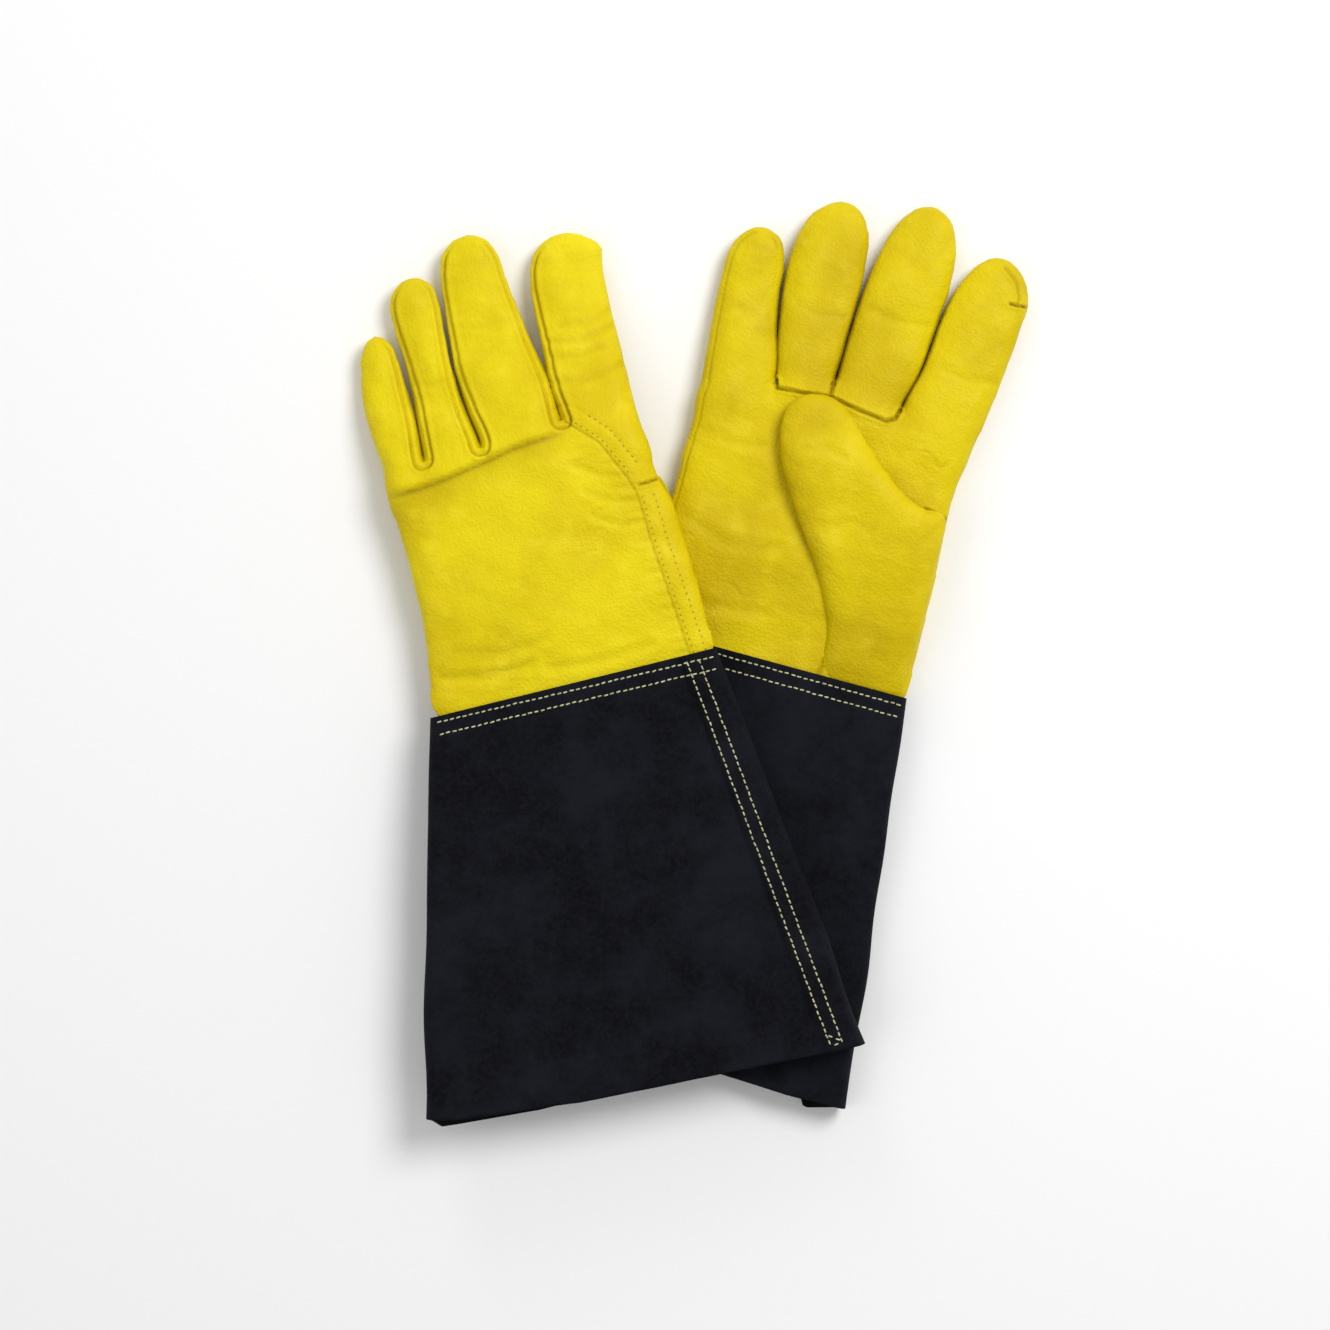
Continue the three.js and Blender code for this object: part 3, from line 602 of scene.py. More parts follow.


# ---- Relief: every seam and crease is (line, depth, half width, lip, darkness), the darkness being painted shade in its groove.
CREASES = dict(
    left_back=[
        ([(47.3, 81.9), (58, 83.4), (66, 83.8)], 0.9, 0.6, 0.3, 0.9),
        ([(20, 147), (31, 145.5), (43, 147.5)], 0.35, 1.6, 0.2, 0.10),
        ([(20, 155), (33, 152), (50, 156)], 0.55, 1.5, 0.25, 0.12),
        ([(26, 161), (38, 160), (51, 164)], 0.35, 1.6, 0.2, 0.08),
        ([(18, 136), (33, 133.5), (52, 138)], 0.5, 2.0, 0.2, 0.10),
        ([(-44, 148), (-36, 146), (-28, 148)], 0.3, 1.6, 0.1, 0.05),
        ([(-21, 158), (-9, 156), (4, 159)], 0.3, 1.8, 0.1, 0.05),
        ([(-20, 170), (-9, 167), (3, 169)], 0.25, 1.6, 0.1, 0.05),
        ([(-58, 14), (-40, 10), (-18, 12)], 0.45, 2.2, 0.25, 0.06),
        ([(-50, 24), (-30, 19), (-8, 22)], 0.35, 2.4, 0.2, 0.04),
        ([(-10, 9), (14, 7), (38, 10)], 0.35, 2.0, 0.2, 0.05),
        ([(22, 84), (34, 77), (44, 75)], 0.35, 1.6, 0.2, 0.06),
        ([(24, 72), (35, 66), (45, 65)], 0.35, 1.7, 0.2, 0.06),
        ([(20, 96), (30, 90), (38, 88)], 0.35, 1.6, 0.2, 0.06),
    ],
    right_palm=[
        ([(-34.3, 124), (-33.4, 120.2), (-22, 121.4), (-8.9, 123.5), (5, 121.6), (18.9, 120.7),
          (22.6, 123), (23.6, 127.5)], 1.6, 0.7, 0.7, 0.75),
        ([(-8.9, 123.5), (-9.2, 130)], 1.3, 0.8, 0.3, 0.8),
        ([(48, 87.4), (55, 86.4), (61, 85.9)], 1.3, 0.8, 0.3, 1.0),
        ([(25, 8), (23.6, -4)], 0.9, 1.0, 0.3, 0.4),
        ([(67, 190.8), (61, 189.6), (57, 189.2)], 1.3, 0.6, 0.4, 0.9),
        ([(50, 204.8), (57.6, 199.7), (60.8, 192.8), (60.4, 190)], 0.8, 0.7, 0.35, 0.3),
        ([(-60, 92), (-46, 90), (-33, 92.5)], 0.3, 2.0, 0.15, 0.05),
        ([(-56, 52), (-34, 46), (-12, 50)], 0.35, 2.6, 0.2, 0.05),
        ([(-58, 22), (-34, 16), (-8, 20)], 0.35, 2.4, 0.2, 0.05),
        ([(36, 152), (48, 150), (62, 153)], 0.35, 1.8, 0.1, 0.06),
        ([(-62, 150), (-54, 148.5), (-46, 150)], 0.3, 1.8, 0.1, 0.05),
        ([(-36, 160), (-26, 158), (-14, 160)], 0.35, 1.8, 0.1, 0.05),
        ([(-4, 168), (9, 166), (24, 168)], 0.35, 1.8, 0.1, 0.05),
    ],
    thumb=[
        ([(-14, 96), (-4, 100), (6, 98)], 0.3, 1.8, 0.1, 0.05),
        ([(6, 66), (18, 72), (26, 70)], 0.3, 2.2, 0.1, 0.05),
    ],
)
BACK_SEAM = [(54.4, 1.6), (50.4, 32.9), (47.2, 57.1), (45.4, 78), (42.5, 86.2), (33.1, 104.5),
             (19.7, 117.1)]


def depth_field(glove, outlines, step, lowest):
    """Depth inside the outlines, with the bulge of the leather, as a field over u and v."""
    low = np.array([LOW[0], lowest])
    u, v = np.meshgrid(np.arange(low[0], HIGH[0], step), np.arange(low[1], HIGH[1], step),
                       indexing="ij")
    depth = signed_union([rounded(outline) for outline in outlines], u, v) + growth(glove, u, v)
    return Field2D(depth, low, step)


def press_creases(lines, u, v, mask, push, dark):
    """Presses lines into a face, where mask is 1, and paints shade into them."""
    for points, deep, wide, lip, darkness in lines:
        d, _ = line_distance(points, u, v)
        groove = bell(d, wide)
        push -= mask * (deep * groove - lip * bell(d - 2.1 * wide, 1.1 * wide))
        np.maximum(dark, mask * darkness * bell(d, wide * 0.9), out=dark)


class Relief:
    """What one glove's leather does to a smooth skin: swells, wrinkles, seams and creases, and the shade painted into
    them.
    """

    def __init__(self, glove, random):
        self.glove = glove
        outlines = [glove["hand"]] + [glove["fingers"][n] for n in FINGERS]
        self.depth = depth_field(glove, outlines, 0.8, LOW[1] - 2)
        self.fingers = [depth_field(glove, [glove["fingers"][n]], 1.0, 88.0) for n in FINGERS]
        self.broad, self.middling = Waves(random, 36), Waves(random, 15)
        self.small, self.bend, self.patch = Waves(random, 5.5), Waves(random, 17), Waves(random, 24)

    def swell(self, points, normals):
        level = 0.35 + 0.65 * np.abs(normals[:, 2])
        push = 0.42 * self.broad(points) + 0.16 * self.middling(points) + 0.05 * self.small(points)
        return push * level

    def wrinkles(self, points, regions, pitch=5.0):
        """Fine ragged creases that run across the hand, inside round regions."""
        u, v = points[:, 0], points[:, 1]
        wave = np.abs(np.sin(v * math.pi / pitch + 0.05 * u + 1.5 * self.bend(points)))
        lines = (1 - wave) ** 5
        mask = np.zeros(len(points))
        for cu, cv, ru, rv, strength in regions:
            near = np.exp(-(((u - cu) / ru) ** 2 + ((v - cv) / rv) ** 2))
            np.maximum(mask, strength * near, out=mask)
        return mask * smoothstep(-0.7, 0.6, self.patch(points)) * lines

    def hand(self, points, normals):
        u, v = points[:, 0], points[:, 1]
        back = smoothstep(0.05, 0.55, -normals[:, 2])
        palm = smoothstep(0.05, 0.55, normals[:, 2])
        push = self.swell(points, normals) * smoothstep(-1, 16, v)
        dark = np.zeros(len(points))
        palm_up = self.glove["palm_up"]
        face = palm if palm_up else back
        fine = self.wrinkles(points, WRINKLED[self.glove["name"]])
        push -= 0.55 * face * fine
        # Painted shade in the fine wrinkles.
        np.maximum(dark, 0.22 * face * fine, out=dark)
        self.between_fingers(u, v, 0 * back if palm_up else back, push, dark)
        if palm_up:
            self.palm_lines(u, v, palm, push, dark)
        else:
            self.knuckle_fold(u, v, back, push, dark)
        self.back_seam(u, v, back, push, dark)
        return points + normals * push[:, None], dark

    def between_fingers(self, u, v, back, push, dark):
        """The seams that ring each crotch and run up both sides of the fingers, and the shade
        between the fingers."""
        glove = self.glove
        depth = self.depth(u, v)
        owns = np.array([field(u, v) for field in self.fingers])
        finger = owns.argmax(axis=0)
        own = owns.max(axis=0)
        next_own = np.sort(owns, axis=0)[-2]
        centre = np.zeros(len(u))
        tip_v = np.zeros(len(u))
        for i, (tip_u, tip) in enumerate(glove["tips"]):
            root_u, root_v = root(glove, i)
            t = (v - root_v) / (tip - root_v)
            centre = np.where(finger == i, root_u + (tip_u - root_u) * t, centre)
            tip_v = np.where(finger == i, tip, tip_v)
        up = v - knuckle_line(glove, u)
        inset = 3.4 - 1.6 * smoothstep(0, 70, up) + growth(glove, u, v)
        outer = ((finger == 0) & (u < centre)) | ((finger == 3) & (u > centre))
        sewn = smoothstep(-9, -4, up) * np.where(outer, 0.0, 1.0)
        sewn *= smoothstep(-1, -9, v - tip_v)
        at = depth - inset
        push += back * sewn * (-1.5 * bell(at, 0.6) + 0.75 * bell(at - 1.7, 1.2)
                               + 0.35 * bell(at + 1.4, 0.8))
        seam_shade = 0.16 + 0.34 * smoothstep(28, 0, up)
        np.maximum(dark, back * sewn * seam_shade * bell(at, 0.5), out=dark)
        # Little light falls where two fingers meet.
        meeting = smoothstep(2.2, 0.4, own) * smoothstep(-3.2, -0.6, next_own) * (up > 0)
        np.maximum(dark, 0.55 * meeting, out=dark)
        # Painted shade down in each crotch.
        crotch = smoothstep(2.0, 0.2, depth) * smoothstep(26, 6, up) * smoothstep(-5, 0, up)
        crotch *= smoothstep(-9, -4, next_own)
        np.maximum(dark, 0.5 * crotch, out=dark)

    def palm_lines(self, u, v, palm, push, dark):
        """The palm's seams and creases, and the seam down the little finger's side, with painted shade in their
        grooves.
        """
        press_creases(CREASES["right_palm"], u, v, palm, push, dark)
        rim = palm * ((u < -52) & (v < 186))
        at = self.depth(u, v) - 3.0
        push -= rim * 0.5 * bell(at, 0.6)
        # Painted shade along that seam's groove.
        np.maximum(dark, rim * 0.22 * bell(at, 0.5), out=dark)

    def knuckle_fold(self, u, v, back, push, dark):
        """The creases of the back, and the fold where the fingers' roots bulge over it."""
        press_creases(CREASES["left_back"], u, v, back, push, dark)
        d, side = line_distance(KNUCKLE_FOLD, u, v)
        along = smoothstep(22, 8, u) * smoothstep(-70, -58, u)
        below = side > 0
        sunk = np.where(below, 1.5 * bell(d, 8), 1.5 * bell(d, 1.4))
        raised = np.where(below, 0, 1.1 * bell(d - 3.4, 3.2))
        push += back * along * (raised - sunk)
        shade = np.where(below, 0.36 * bell(d, 1.5) + 0.24 * bell(d, 9), 0.36 * bell(d, 0.9))
        np.maximum(dark, back * along * shade, out=dark)

    def back_seam(self, u, v, back, push, dark):
        """The seam beside the thumb edge, with puckers along it, a dent under each row and painted shade along its
        groove.
        """
        d, side = line_distance(BACK_SEAM, u, v)
        right = side > 0
        push += back * (-0.8 * bell(d, 0.6) + 0.4 * np.where(right, smoothstep(9, 6, d), 0))
        for row in (SEAM_ROW, SEAM_ROW + ROW_SPACING):
            push -= back * right * 0.4 * bell(d - row, 0.9)
        puckers = np.sin(v * 2 * math.pi / 5.2 + 1.5 * np.sin(v / 9)) * bell(d, 6) * ~right
        push += 0.2 * back * puckers
        np.maximum(dark, back * 0.35 * bell(d, 0.5), out=dark)

    def thumb(self, points, normals):
        u, v = points[:, 0], points[:, 1]
        palm = smoothstep(0.05, 0.55, normals[:, 2])
        push = self.swell(points, normals) * smoothstep(-1, 16, v)
        dark = np.zeros(len(points))
        press_creases(CREASES["thumb"], u, v, palm, push, dark)
        # Its foot against the palm gets a line of painted shade.
        foot = smoothstep(20.5, 16.8, points[:, 2]) * smoothstep(40, 60, v)
        np.maximum(dark, 0.6 * foot, out=dark)
        return points + normals * push[:, None], dark


# Where the fingers' roots bulge over the back of the hand.
KNUCKLE_FOLD = [(-68, 99.5), (-52, 100.5), (-38, 102.5), (-22, 106), (-6, 109.5), (10, 111.5),
                (24, 112.5)]
# Round regions with fine wrinkles: u, v, their two radii, and how strong.
WRINKLED = dict(
    left=[(30, 62, 16, 20, 1.0), (-40, 12, 34, 14, 0.7), (10, 10, 30, 9, 0.6),
          (-58, 94, 14, 9, 0.8), (28, 100, 14, 10, 0.7), (36, 155, 16, 12, 0.8),
          (-8, 165, 12, 22, 0.4), (-58, 40, 12, 24, 0.5)],
    right=[(-48, 95, 18, 10, 0.8), (-20, 25, 34, 16, 0.7), (46, 112, 14, 9, 0.9),
           (45, 30, 16, 20, 0.5), (-56, 60, 12, 20, 0.5), (46, 158, 14, 14, 0.5)],
)


HAND_NODES = dict(
    back=["hand_back", "index_side"],
    palm=["palm"],
    little=["little_front", "little_back", "little_thumb_side_strip"],
    ring=["ring_front", "ring_back", "ring_thumb_side_strip", "ring_little_side_strip"],
    middle=["middle_front", "middle_back", "middle_thumb_side_strip",
            "middle_little_side_strip"],
    index=["index_wrap", "index_little_side_strip"],
    thumb=["thumb_wing", "thumb_front", "thumb_back"],
)


def bend_line(glove, a, b):
    """Start and end of a bend across the line from a to b, towards the fingertips."""
    place = glove["placing"]
    a, b = np.array(a, float), np.array(b, float)
    middle = (a + b) / 2
    onward = np.array([-(b - a)[1], (b - a)[0]]) / np.linalg.norm(b - a)
    end = middle + onward * BEND_REACH
    return place.point(*middle), place.point(*end)


def make_hand(glove, leather, relief):
    """A back and a palm from one skin, parted at their middle height, and four fingers."""
    name = glove["name"]
    place = glove["placing"]
    pieces = {}

    def shown(part, points, quads, chosen, dark):
        world = place(points)
        turned = place.quads(quads)
        piece = add_piece(f"{name}_{part}_leather", world, turned[chosen],
                          vertex_normals(world, turned), dark, leather, "yellow_grain_leather")
        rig.replaces(piece, *(f"{name}_{n}" for n in HAND_NODES[part]))
        pieces[part] = piece

    points, quads = hand_mesh(glove)
    points, dark = relief.hand(points, vertex_normals(points, quads))
    centre = points[quads].mean(axis=1)
    before = centre[:, 1] <= knuckle_line(glove, centre[:, 0])
    shown("back", points, quads, before & (centre[:, 2] < HAND_MIDDLE), dark)
    shown("palm", points, quads, before & (centre[:, 2] >= HAND_MIDDLE), dark)
    for i, part in enumerate(FINGERS):
        points, quads = hand_mesh(glove, only=i)
        points, dark = relief.hand(points, vertex_normals(points, quads))
        centre = points[quads].mean(axis=1)
        beyond = centre[:, 1] > knuckle_line(glove, centre[:, 0])
        owns = np.array([field(centre[:, 0], centre[:, 1]) for field in relief.fingers])
        own = owns[i] > -1.5 if name == "right" else owns.argmax(axis=0) == i
        shown(part, points, quads, beyond & own, dark)
        start, end = bend_line(glove, *glove["knuckles"][i:i + 2])
        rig.blend(pieces[part], name + "_glove", f"{name}_{part}", start, end)
    for part in ("back", "palm"):
        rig.ride(pieces[part], name + "_glove")
    return pieces


def make_thumb(glove, leather, relief):
    """The thumb and its wing, as one piece that bends where the thumb leaves the palm."""
    name = glove["name"]
    place = glove["placing"]
    points, quads = thumb_mesh(glove)
    points, dark = relief.thumb(points, vertex_normals(points, quads))
    world = place(points)
    quads = place.quads(quads)
    piece = add_piece(f"{name}_thumb_leather", world, quads, vertex_normals(world, quads), dark,
                      leather, "yellow_grain_leather")
    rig.replaces(piece, *(f"{name}_{n}" for n in HAND_NODES["thumb"]))
    start, end = bend_line(glove, *THUMB_BEND)
    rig.blend(piece, name + "_glove", name + "_thumb", start, end)
    return piece


# ---------------------------------------------------------------- the gauntlets
FLAT_SHARE = 0.93  # share of a face's columns that lie flat between its two folded sides
FLAT_REACH = 0.955  # and the share of its width that they cover
INNER_SHARE = 0.74  # height of the tube's inside, as a share of its outside


def gauntlet_edge(v):
    """Middle and half width of a gauntlet at v."""
    down = -v / GAUNTLET_LENGTH
    return MOUTH_SHIFT * down, WRIST_HALF + (MOUTH_HALF - WRIST_HALF) * down


def lap_rows():
    """Distance of the lap's two rows of thread from the gauntlet's thumb side."""
    return dict(inner=LAP_AT - LAP_ROW, outer=LAP_AT - LAP_ROW - ROW_SPACING)


def gauntlet_mesh(glove, random):
    """A flat tube of suede with a thickness, its lap seam a step on the back of the hand."""
    around = int(4 * MOUTH_HALF / COLUMN_STEP)
    rows = int(GAUNTLET_LENGTH / ROW_STEP)
    # Share of the way round: 0 to 1 over the palm side, 1 to 2 back over the back.
    s = np.linspace(0, 2, around, endpoint=False)
    r = np.linspace(0, 1, rows + 1)
    s, r = np.meshgrid(s, r, indexing="ij")
    palm_side = s < 1
    face = np.where(palm_side, s, 2 - s)
    x = 1 - 2 * face
    # The last share of each face, at its two sides, is the rounded fold.
    end = np.clip((np.abs(x) - FLAT_SHARE) / (1 - FLAT_SHARE), 0, 1)
    fold = FLAT_REACH + (1 - FLAT_REACH) * np.sin(end * math.pi / 2)
    across = np.sign(-x) * np.where(end > 0, fold, np.abs(x) * FLAT_REACH / FLAT_SHARE)
    hem = np.where(palm_side,
                   along_line(glove["hem"]["palm"], across * MOUTH_HALF),
                   along_line(glove["hem"]["back"], across * MOUTH_HALF))
    top = TOP_SLANT * across * MIDWAY_HALF
    v = top + r * (-GAUNTLET_LENGTH + hem - top)
    middle, half = gauntlet_edge(v)
    down_only = np.column_stack([0 * v.ravel(), v.ravel(), 0 * v.ravel()])
    side_wave = 0.7 * Waves(random, 60)(down_only).reshape(v.shape)
    u = middle + across * (half + side_wave * np.abs(across) ** 3)
    u = u + np.where(across < 0, glove["tuck"] * np.abs(across) * r ** 2, 0)
    rise = np.where(end > 0, np.cos(end * math.pi / 2), 1.0)
    outward = np.where(palm_side, 1, -1)
    fullness = 5.4 + 0.5 * smoothstep(0, -40, v) + 0.6 * smoothstep(-120, -GAUNTLET_LENGTH, v)
    w = GAUNTLET_MIDDLE + outward * rise * fullness
    spots = np.column_stack([u.ravel(), v.ravel(), w.ravel()])
    swell = 0.75 * Waves(random, 75)(spots) + 0.35 * Waves(random, 28)(spots)
    swell = (swell + 0.10 * Waves(random, 9)(spots)).reshape(v.shape)
    quiet = smoothstep(0, -14, v)
    w = w + rise * outward * swell * (0.25 + 0.75 * quiet)

    # The lap: the top layer ends in a cut edge beside the inner row.
    inward = middle + half - u
    lapped = (~palm_side) * smoothstep(LAP_AT + 0.7, LAP_AT - 0.7, inward)
    w = w - 1.1 * lapped * smoothstep(0.5, 3, inward)
    # Painted shade at the foot of the lap's cut edge.
    dark = np.where(palm_side, 0, bell(inward - LAP_AT - 0.7, 0.9))
    for row in lap_rows().values():
        w = w + np.where(palm_side, 0, 0.3 * bell(inward - row, 1.0))
    for row in (ROW_FROM_EDGE, ROW_FROM_EDGE + ROW_SPACING):
        w = w - outward * 0.3 * bell(v - top + row, 1.0)
    outer = np.stack([u, v, w], axis=-1)

    inner_u = middle + (u - middle) * (half - LEATHER) / half
    inner_w = GAUNTLET_MIDDLE + (w - GAUNTLET_MIDDLE) * INNER_SHARE
    inner = np.stack([inner_u, v, inner_w], axis=-1)
    points, quads = walled_tube(outer, inner)
    # The inside of the tube gets an even painted shade of 0.6.
    return points, quads, np.concatenate([dark.ravel(), 0.6 + 0 * dark.ravel()])


def walled_tube(outer, inner):
    """Quads over two grids of points, round and down, joined by a rim at each end."""
    count = outer.shape[0] * outer.shape[1]
    points = np.concatenate([outer.reshape(-1, 3), inner.reshape(-1, 3)])
    index = np.arange(count).reshape(outer.shape[:2])
    nxt = np.roll(index, -1, axis=0)
    shell = [index[:, :-1], nxt[:, :-1], nxt[:, 1:], index[:, 1:]]
    outside = np.stack(shell, -1).reshape(-1, 4)
    inside_faces = outside[:, ::-1] + count
    rims = []
    for k, flip in ((0, False), (index.shape[1] - 1, True)):
        rim = np.stack([index[:, k], index[:, k] + count, nxt[:, k] + count, nxt[:, k]], -1)
        rims.append(rim[:, ::-1] if flip else rim)
    quads = np.concatenate([outside, inside_faces] + rims)
    a, b, c, _ = (points[quads[:, i]] for i in range(4))
    if np.einsum("ij,ij->i", a, np.cross(b, c)).sum() < 0:
        quads = quads[:, ::-1]
    return points, quads


def make_gauntlet(glove, suede, random):
    name = glove["name"]
    place = glove["placing"]
    points, quads, dark = gauntlet_mesh(glove, random)
    piece = add_piece(name + "_gauntlet_suede", place(points), place.quads(quads), None, dark,
                      suede, "dark_suede_leather")
    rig.replaces(piece, name + "_gauntlet")
    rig.ride(piece, name + "_glove")
    return piece


def declare_cut(gauntlet, rows, rests_on):
    """Each gauntlet is one flat piece of suede, lapped along its seam and sewn into a tube."""
    around = 4 * MOUTH_HALF + LAP_WIDTH
    area = (2 * (MOUTH_HALF + WRIST_HALF) + LAP_WIDTH) * GAUNTLET_LENGTH
    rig.sheet(gauntlet, flat=(around / MM, GAUNTLET_LENGTH / MM), held="laid",
             rests_on=rests_on, area=area / MM**2, with_pieces=rows)


# ---------------------------------------------------------------- sewing
def stitch_form():
    """One stitch lying along x, 1 long, a bead that dips at both ends."""
    rings, sides = 7, 8
    t = np.linspace(-0.5, 0.5, rings)
    swell = np.sqrt(np.clip(1 - (2 * t) ** 4, 0.02, 1))
    dip = -1.6 * (2 * t) ** 4
    angle = np.arange(sides) * 2 * math.pi / sides
    points = np.array([[x, s * math.cos(a), s * math.sin(a) + d]
                       for x, s, d in zip(t, swell, dip) for a in angle])
    quads = [[i * sides + j, (i + 1) * sides + j, (i + 1) * sides + (j + 1) % sides,
              i * sides + (j + 1) % sides] for i in range(rings - 1) for j in range(sides)]
    shade = np.repeat(np.abs(2 * t) ** 6, sides)
    return points, np.array(quads)[:, ::-1], shade


STITCH_FORM = stitch_form()


def walk(line, pitch):
    """Evenly spaced places along a line, each with its direction."""
    line = np.array(line, float)
    length = np.concatenate([[0], np.cumsum(np.linalg.norm(np.diff(line, axis=0), axis=1))])
    count = max(1, int(length[-1] / pitch))
    at = (np.arange(count) + 0.5) * length[-1] / count
    u = np.interp(at, length, line[:, 0])
    v = np.interp(at, length, line[:, 1])
    ahead = np.interp(at + 0.5, length, line[:, 0]), np.interp(at + 0.5, length, line[:, 1])
    behind = np.interp(at - 0.5, length, line[:, 0]), np.interp(at - 0.5, length, line[:, 1])
    direction = np.column_stack([ahead[0] - behind[0], ahead[1] - behind[1]])
    direction /= np.linalg.norm(direction, axis=1, keepdims=True)
    return np.column_stack([u, v]), direction


def sew(name, glove, lines, base, nodes, material, slot, random, length=0.88, lift=0.10):
    """A row of stitches along lines in the glove's frame, laid on the upper face of `base`."""
    place = glove["placing"]
    form, faces, shade = STITCH_FORM
    points, quads, dark = [], [], []
    for line in lines:
        spots, directions = walk(line, STITCH)
        for spot, direction in zip(spots, directions):
            spot = spot + random.normal(scale=0.09, size=2)
            above = place.point(spot[0], spot[1])
            hit, where, up, _ = base.ray_cast((above[0], above[1], 0.2), (0, 0, -1))
            if not hit:
                continue
            slant = math.radians(random.normal(4, 3))
            flat = place.turn @ direction
            flat = np.array([flat[0] * math.cos(slant) - flat[1] * math.sin(slant),
                             flat[0] * math.sin(slant) + flat[1] * math.cos(slant), 0])
            up = np.array(up)
            along_x = flat - up * (flat @ up)
            along_x /= np.linalg.norm(along_x)
            across = np.cross(up, along_x)
            size = random.uniform(0.93, 1.05)
            shape = (np.outer(form[:, 0] * STITCH * length * size, along_x)
                     + np.outer(form[:, 1] * THREAD_RADIUS, across)
                     + np.outer(form[:, 2] * THREAD_RADIUS * 0.8 + lift, up))
            quads.append(faces + len(points) * len(form))
            points.append(np.array(where) + shape / MM)
            dark.append(shade)
    piece = add_piece(name, np.concatenate(points), np.concatenate(quads), None,
                      np.concatenate(dark), material, slot)
    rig.replaces(piece, *nodes)
    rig.ride(piece, glove["name"] + "_glove")
    return piece


def cuff_line(down):
    """A line along the gauntlet's upper edge, that far below it, short of its folded sides."""
    reach = WRIST_HALF - 2.5
    return [(u, TOP_SLANT * u - down) for u in np.linspace(-reach, reach, 12)]


def sew_cuffs(glove, gauntlet, thread, random):
    name = glove["name"]
    for row, down in (("upper", ROW_FROM_EDGE), ("lower", ROW_FROM_EDGE + ROW_SPACING)):
        node = f"{name}_cuff_thread_{row}"
        yield sew(f"{name}_cuff_stitches_{row}", glove, [cuff_line(down)],
                  gauntlet, [node], thread, "cream_thread", random)


def sew_lap(glove, gauntlet, thread, random):
    insets = lap_rows()

    def spot(inset, v):
        middle, half = gauntlet_edge(v)
        return (middle + half - inset, v)

    top, foot = -0.5, -GAUNTLET_LENGTH + 3.0
    for row, inset in insets.items():
        lines = [[spot(inset, v) for v in np.linspace(top, foot, 6)]]
        if row == "inner":
            lines.append([spot(insets["inner"], foot), spot(insets["outer"], foot)])
            lines.append([spot(insets["inner"], foot + 5), spot(insets["outer"], foot + 1)])
        yield sew(f"left_lap_stitches_{row}", glove, lines, gauntlet,
                  [f"left_lap_thread_{row}"], thread, "cream_thread", random)


def sew_back_seam(glove, hand, thread, random):
    seam = np.array(BACK_SEAM[:4], float)
    for row, aside in (("inner", SEAM_ROW), ("outer", SEAM_ROW + ROW_SPACING)):
        line = [(u + aside, v) for u, v in seam]
        upper = [(u + aside * 0.8, v + aside * 0.7) for u, v in BACK_SEAM[4:]]
        sew(f"left_back_seam_stitches_{row}", glove, [line, upper], hand,
            [f"left_back_seam_thread_{row}"], thread, "yellow_thread", random, length=0.5,
            lift=0.02)


# ---------------------------------------------------------------- materials
def srgb(r, g, b):
    """A colour from its 0 to 255 values, as the shader wants it."""
    return tuple(((c / 255 + 0.055) / 1.055) ** 2.4 if c > 10 else c / 255 / 12.92
                 for c in (r, g, b)) + (1.0,)


class Nodes:
    """Short ways to add and join shader nodes."""

    def __init__(self, name):
        self.material = bpy.data.materials.new(name)
        self.material.use_nodes = True
        self.tree = self.material.node_tree
        self.shader = self.tree.nodes["Principled BSDF"]
        self.place = self.tree.nodes.new("ShaderNodeTexCoord")

    def add(self, kind, **settings):
        node = self.tree.nodes.new(kind)
        for key, value in settings.items():
            if hasattr(node, key):
                setattr(node, key, value)
            else:
                node.inputs[key].default_value = value
        return node

    def join(self, source, target):
        self.tree.links.new(source, target)

    def noise(self, scale, detail=3.0, rough=0.55):
        node = self.add("ShaderNodeTexNoise", Scale=scale, Detail=detail, Roughness=rough)
        self.join(self.place.outputs["Object"], node.inputs["Vector"])
        return node.outputs["Fac"]

    def cells(self, scale):
        node = self.add("ShaderNodeTexVoronoi", Scale=scale)
        self.join(self.place.outputs["Object"], node.inputs["Vector"])
        return node.outputs["Distance"]

    def ramp(self, value, low, high, low_out=0.0, high_out=1.0):
        node = self.add("ShaderNodeMapRange", interpolation_type="SMOOTHSTEP")
        for key, number in zip(("From Min", "From Max", "To Min", "To Max"),
                               (low, high, low_out, high_out)):
            node.inputs[key].default_value = number
        self.join(value, node.inputs["Value"])
        return node.outputs["Result"]

    def mix(self, share, a, b):
        node = self.add("ShaderNodeMix", data_type="RGBA")
        for socket, value in ((node.inputs[0], share), (node.inputs[6], a), (node.inputs[7], b)):
            if isinstance(value, (tuple, float)):
                socket.default_value = value
            else:
                self.join(value, socket)
        return node.outputs[2]

    def math(self, operation, a, b):
        node = self.add("ShaderNodeMath", operation=operation)
        for socket, value in zip(node.inputs, (a, b)):
            if isinstance(value, float):
                socket.default_value = value
            else:
                self.join(value, socket)
        return node.outputs[0]

    def bump(self, height, strength, distance, under=None):
        node = self.add("ShaderNodeBump", Strength=strength, Distance=distance)
        self.join(height, node.inputs["Height"])
        if under:
            self.join(under, node.inputs["Normal"])
        return node.outputs["Normal"]

    def painted_shade(self):
        # The painted shade that each point of the mesh carries.
        return self.add("ShaderNodeAttribute", attribute_name="painted_shade").outputs["Fac"]

    def wire(self, colour, roughness, normal):
        self.join(colour, self.shader.inputs["Base Color"])
        self.join(roughness, self.shader.inputs["Roughness"])
        self.join(normal, self.shader.inputs["Normal"])


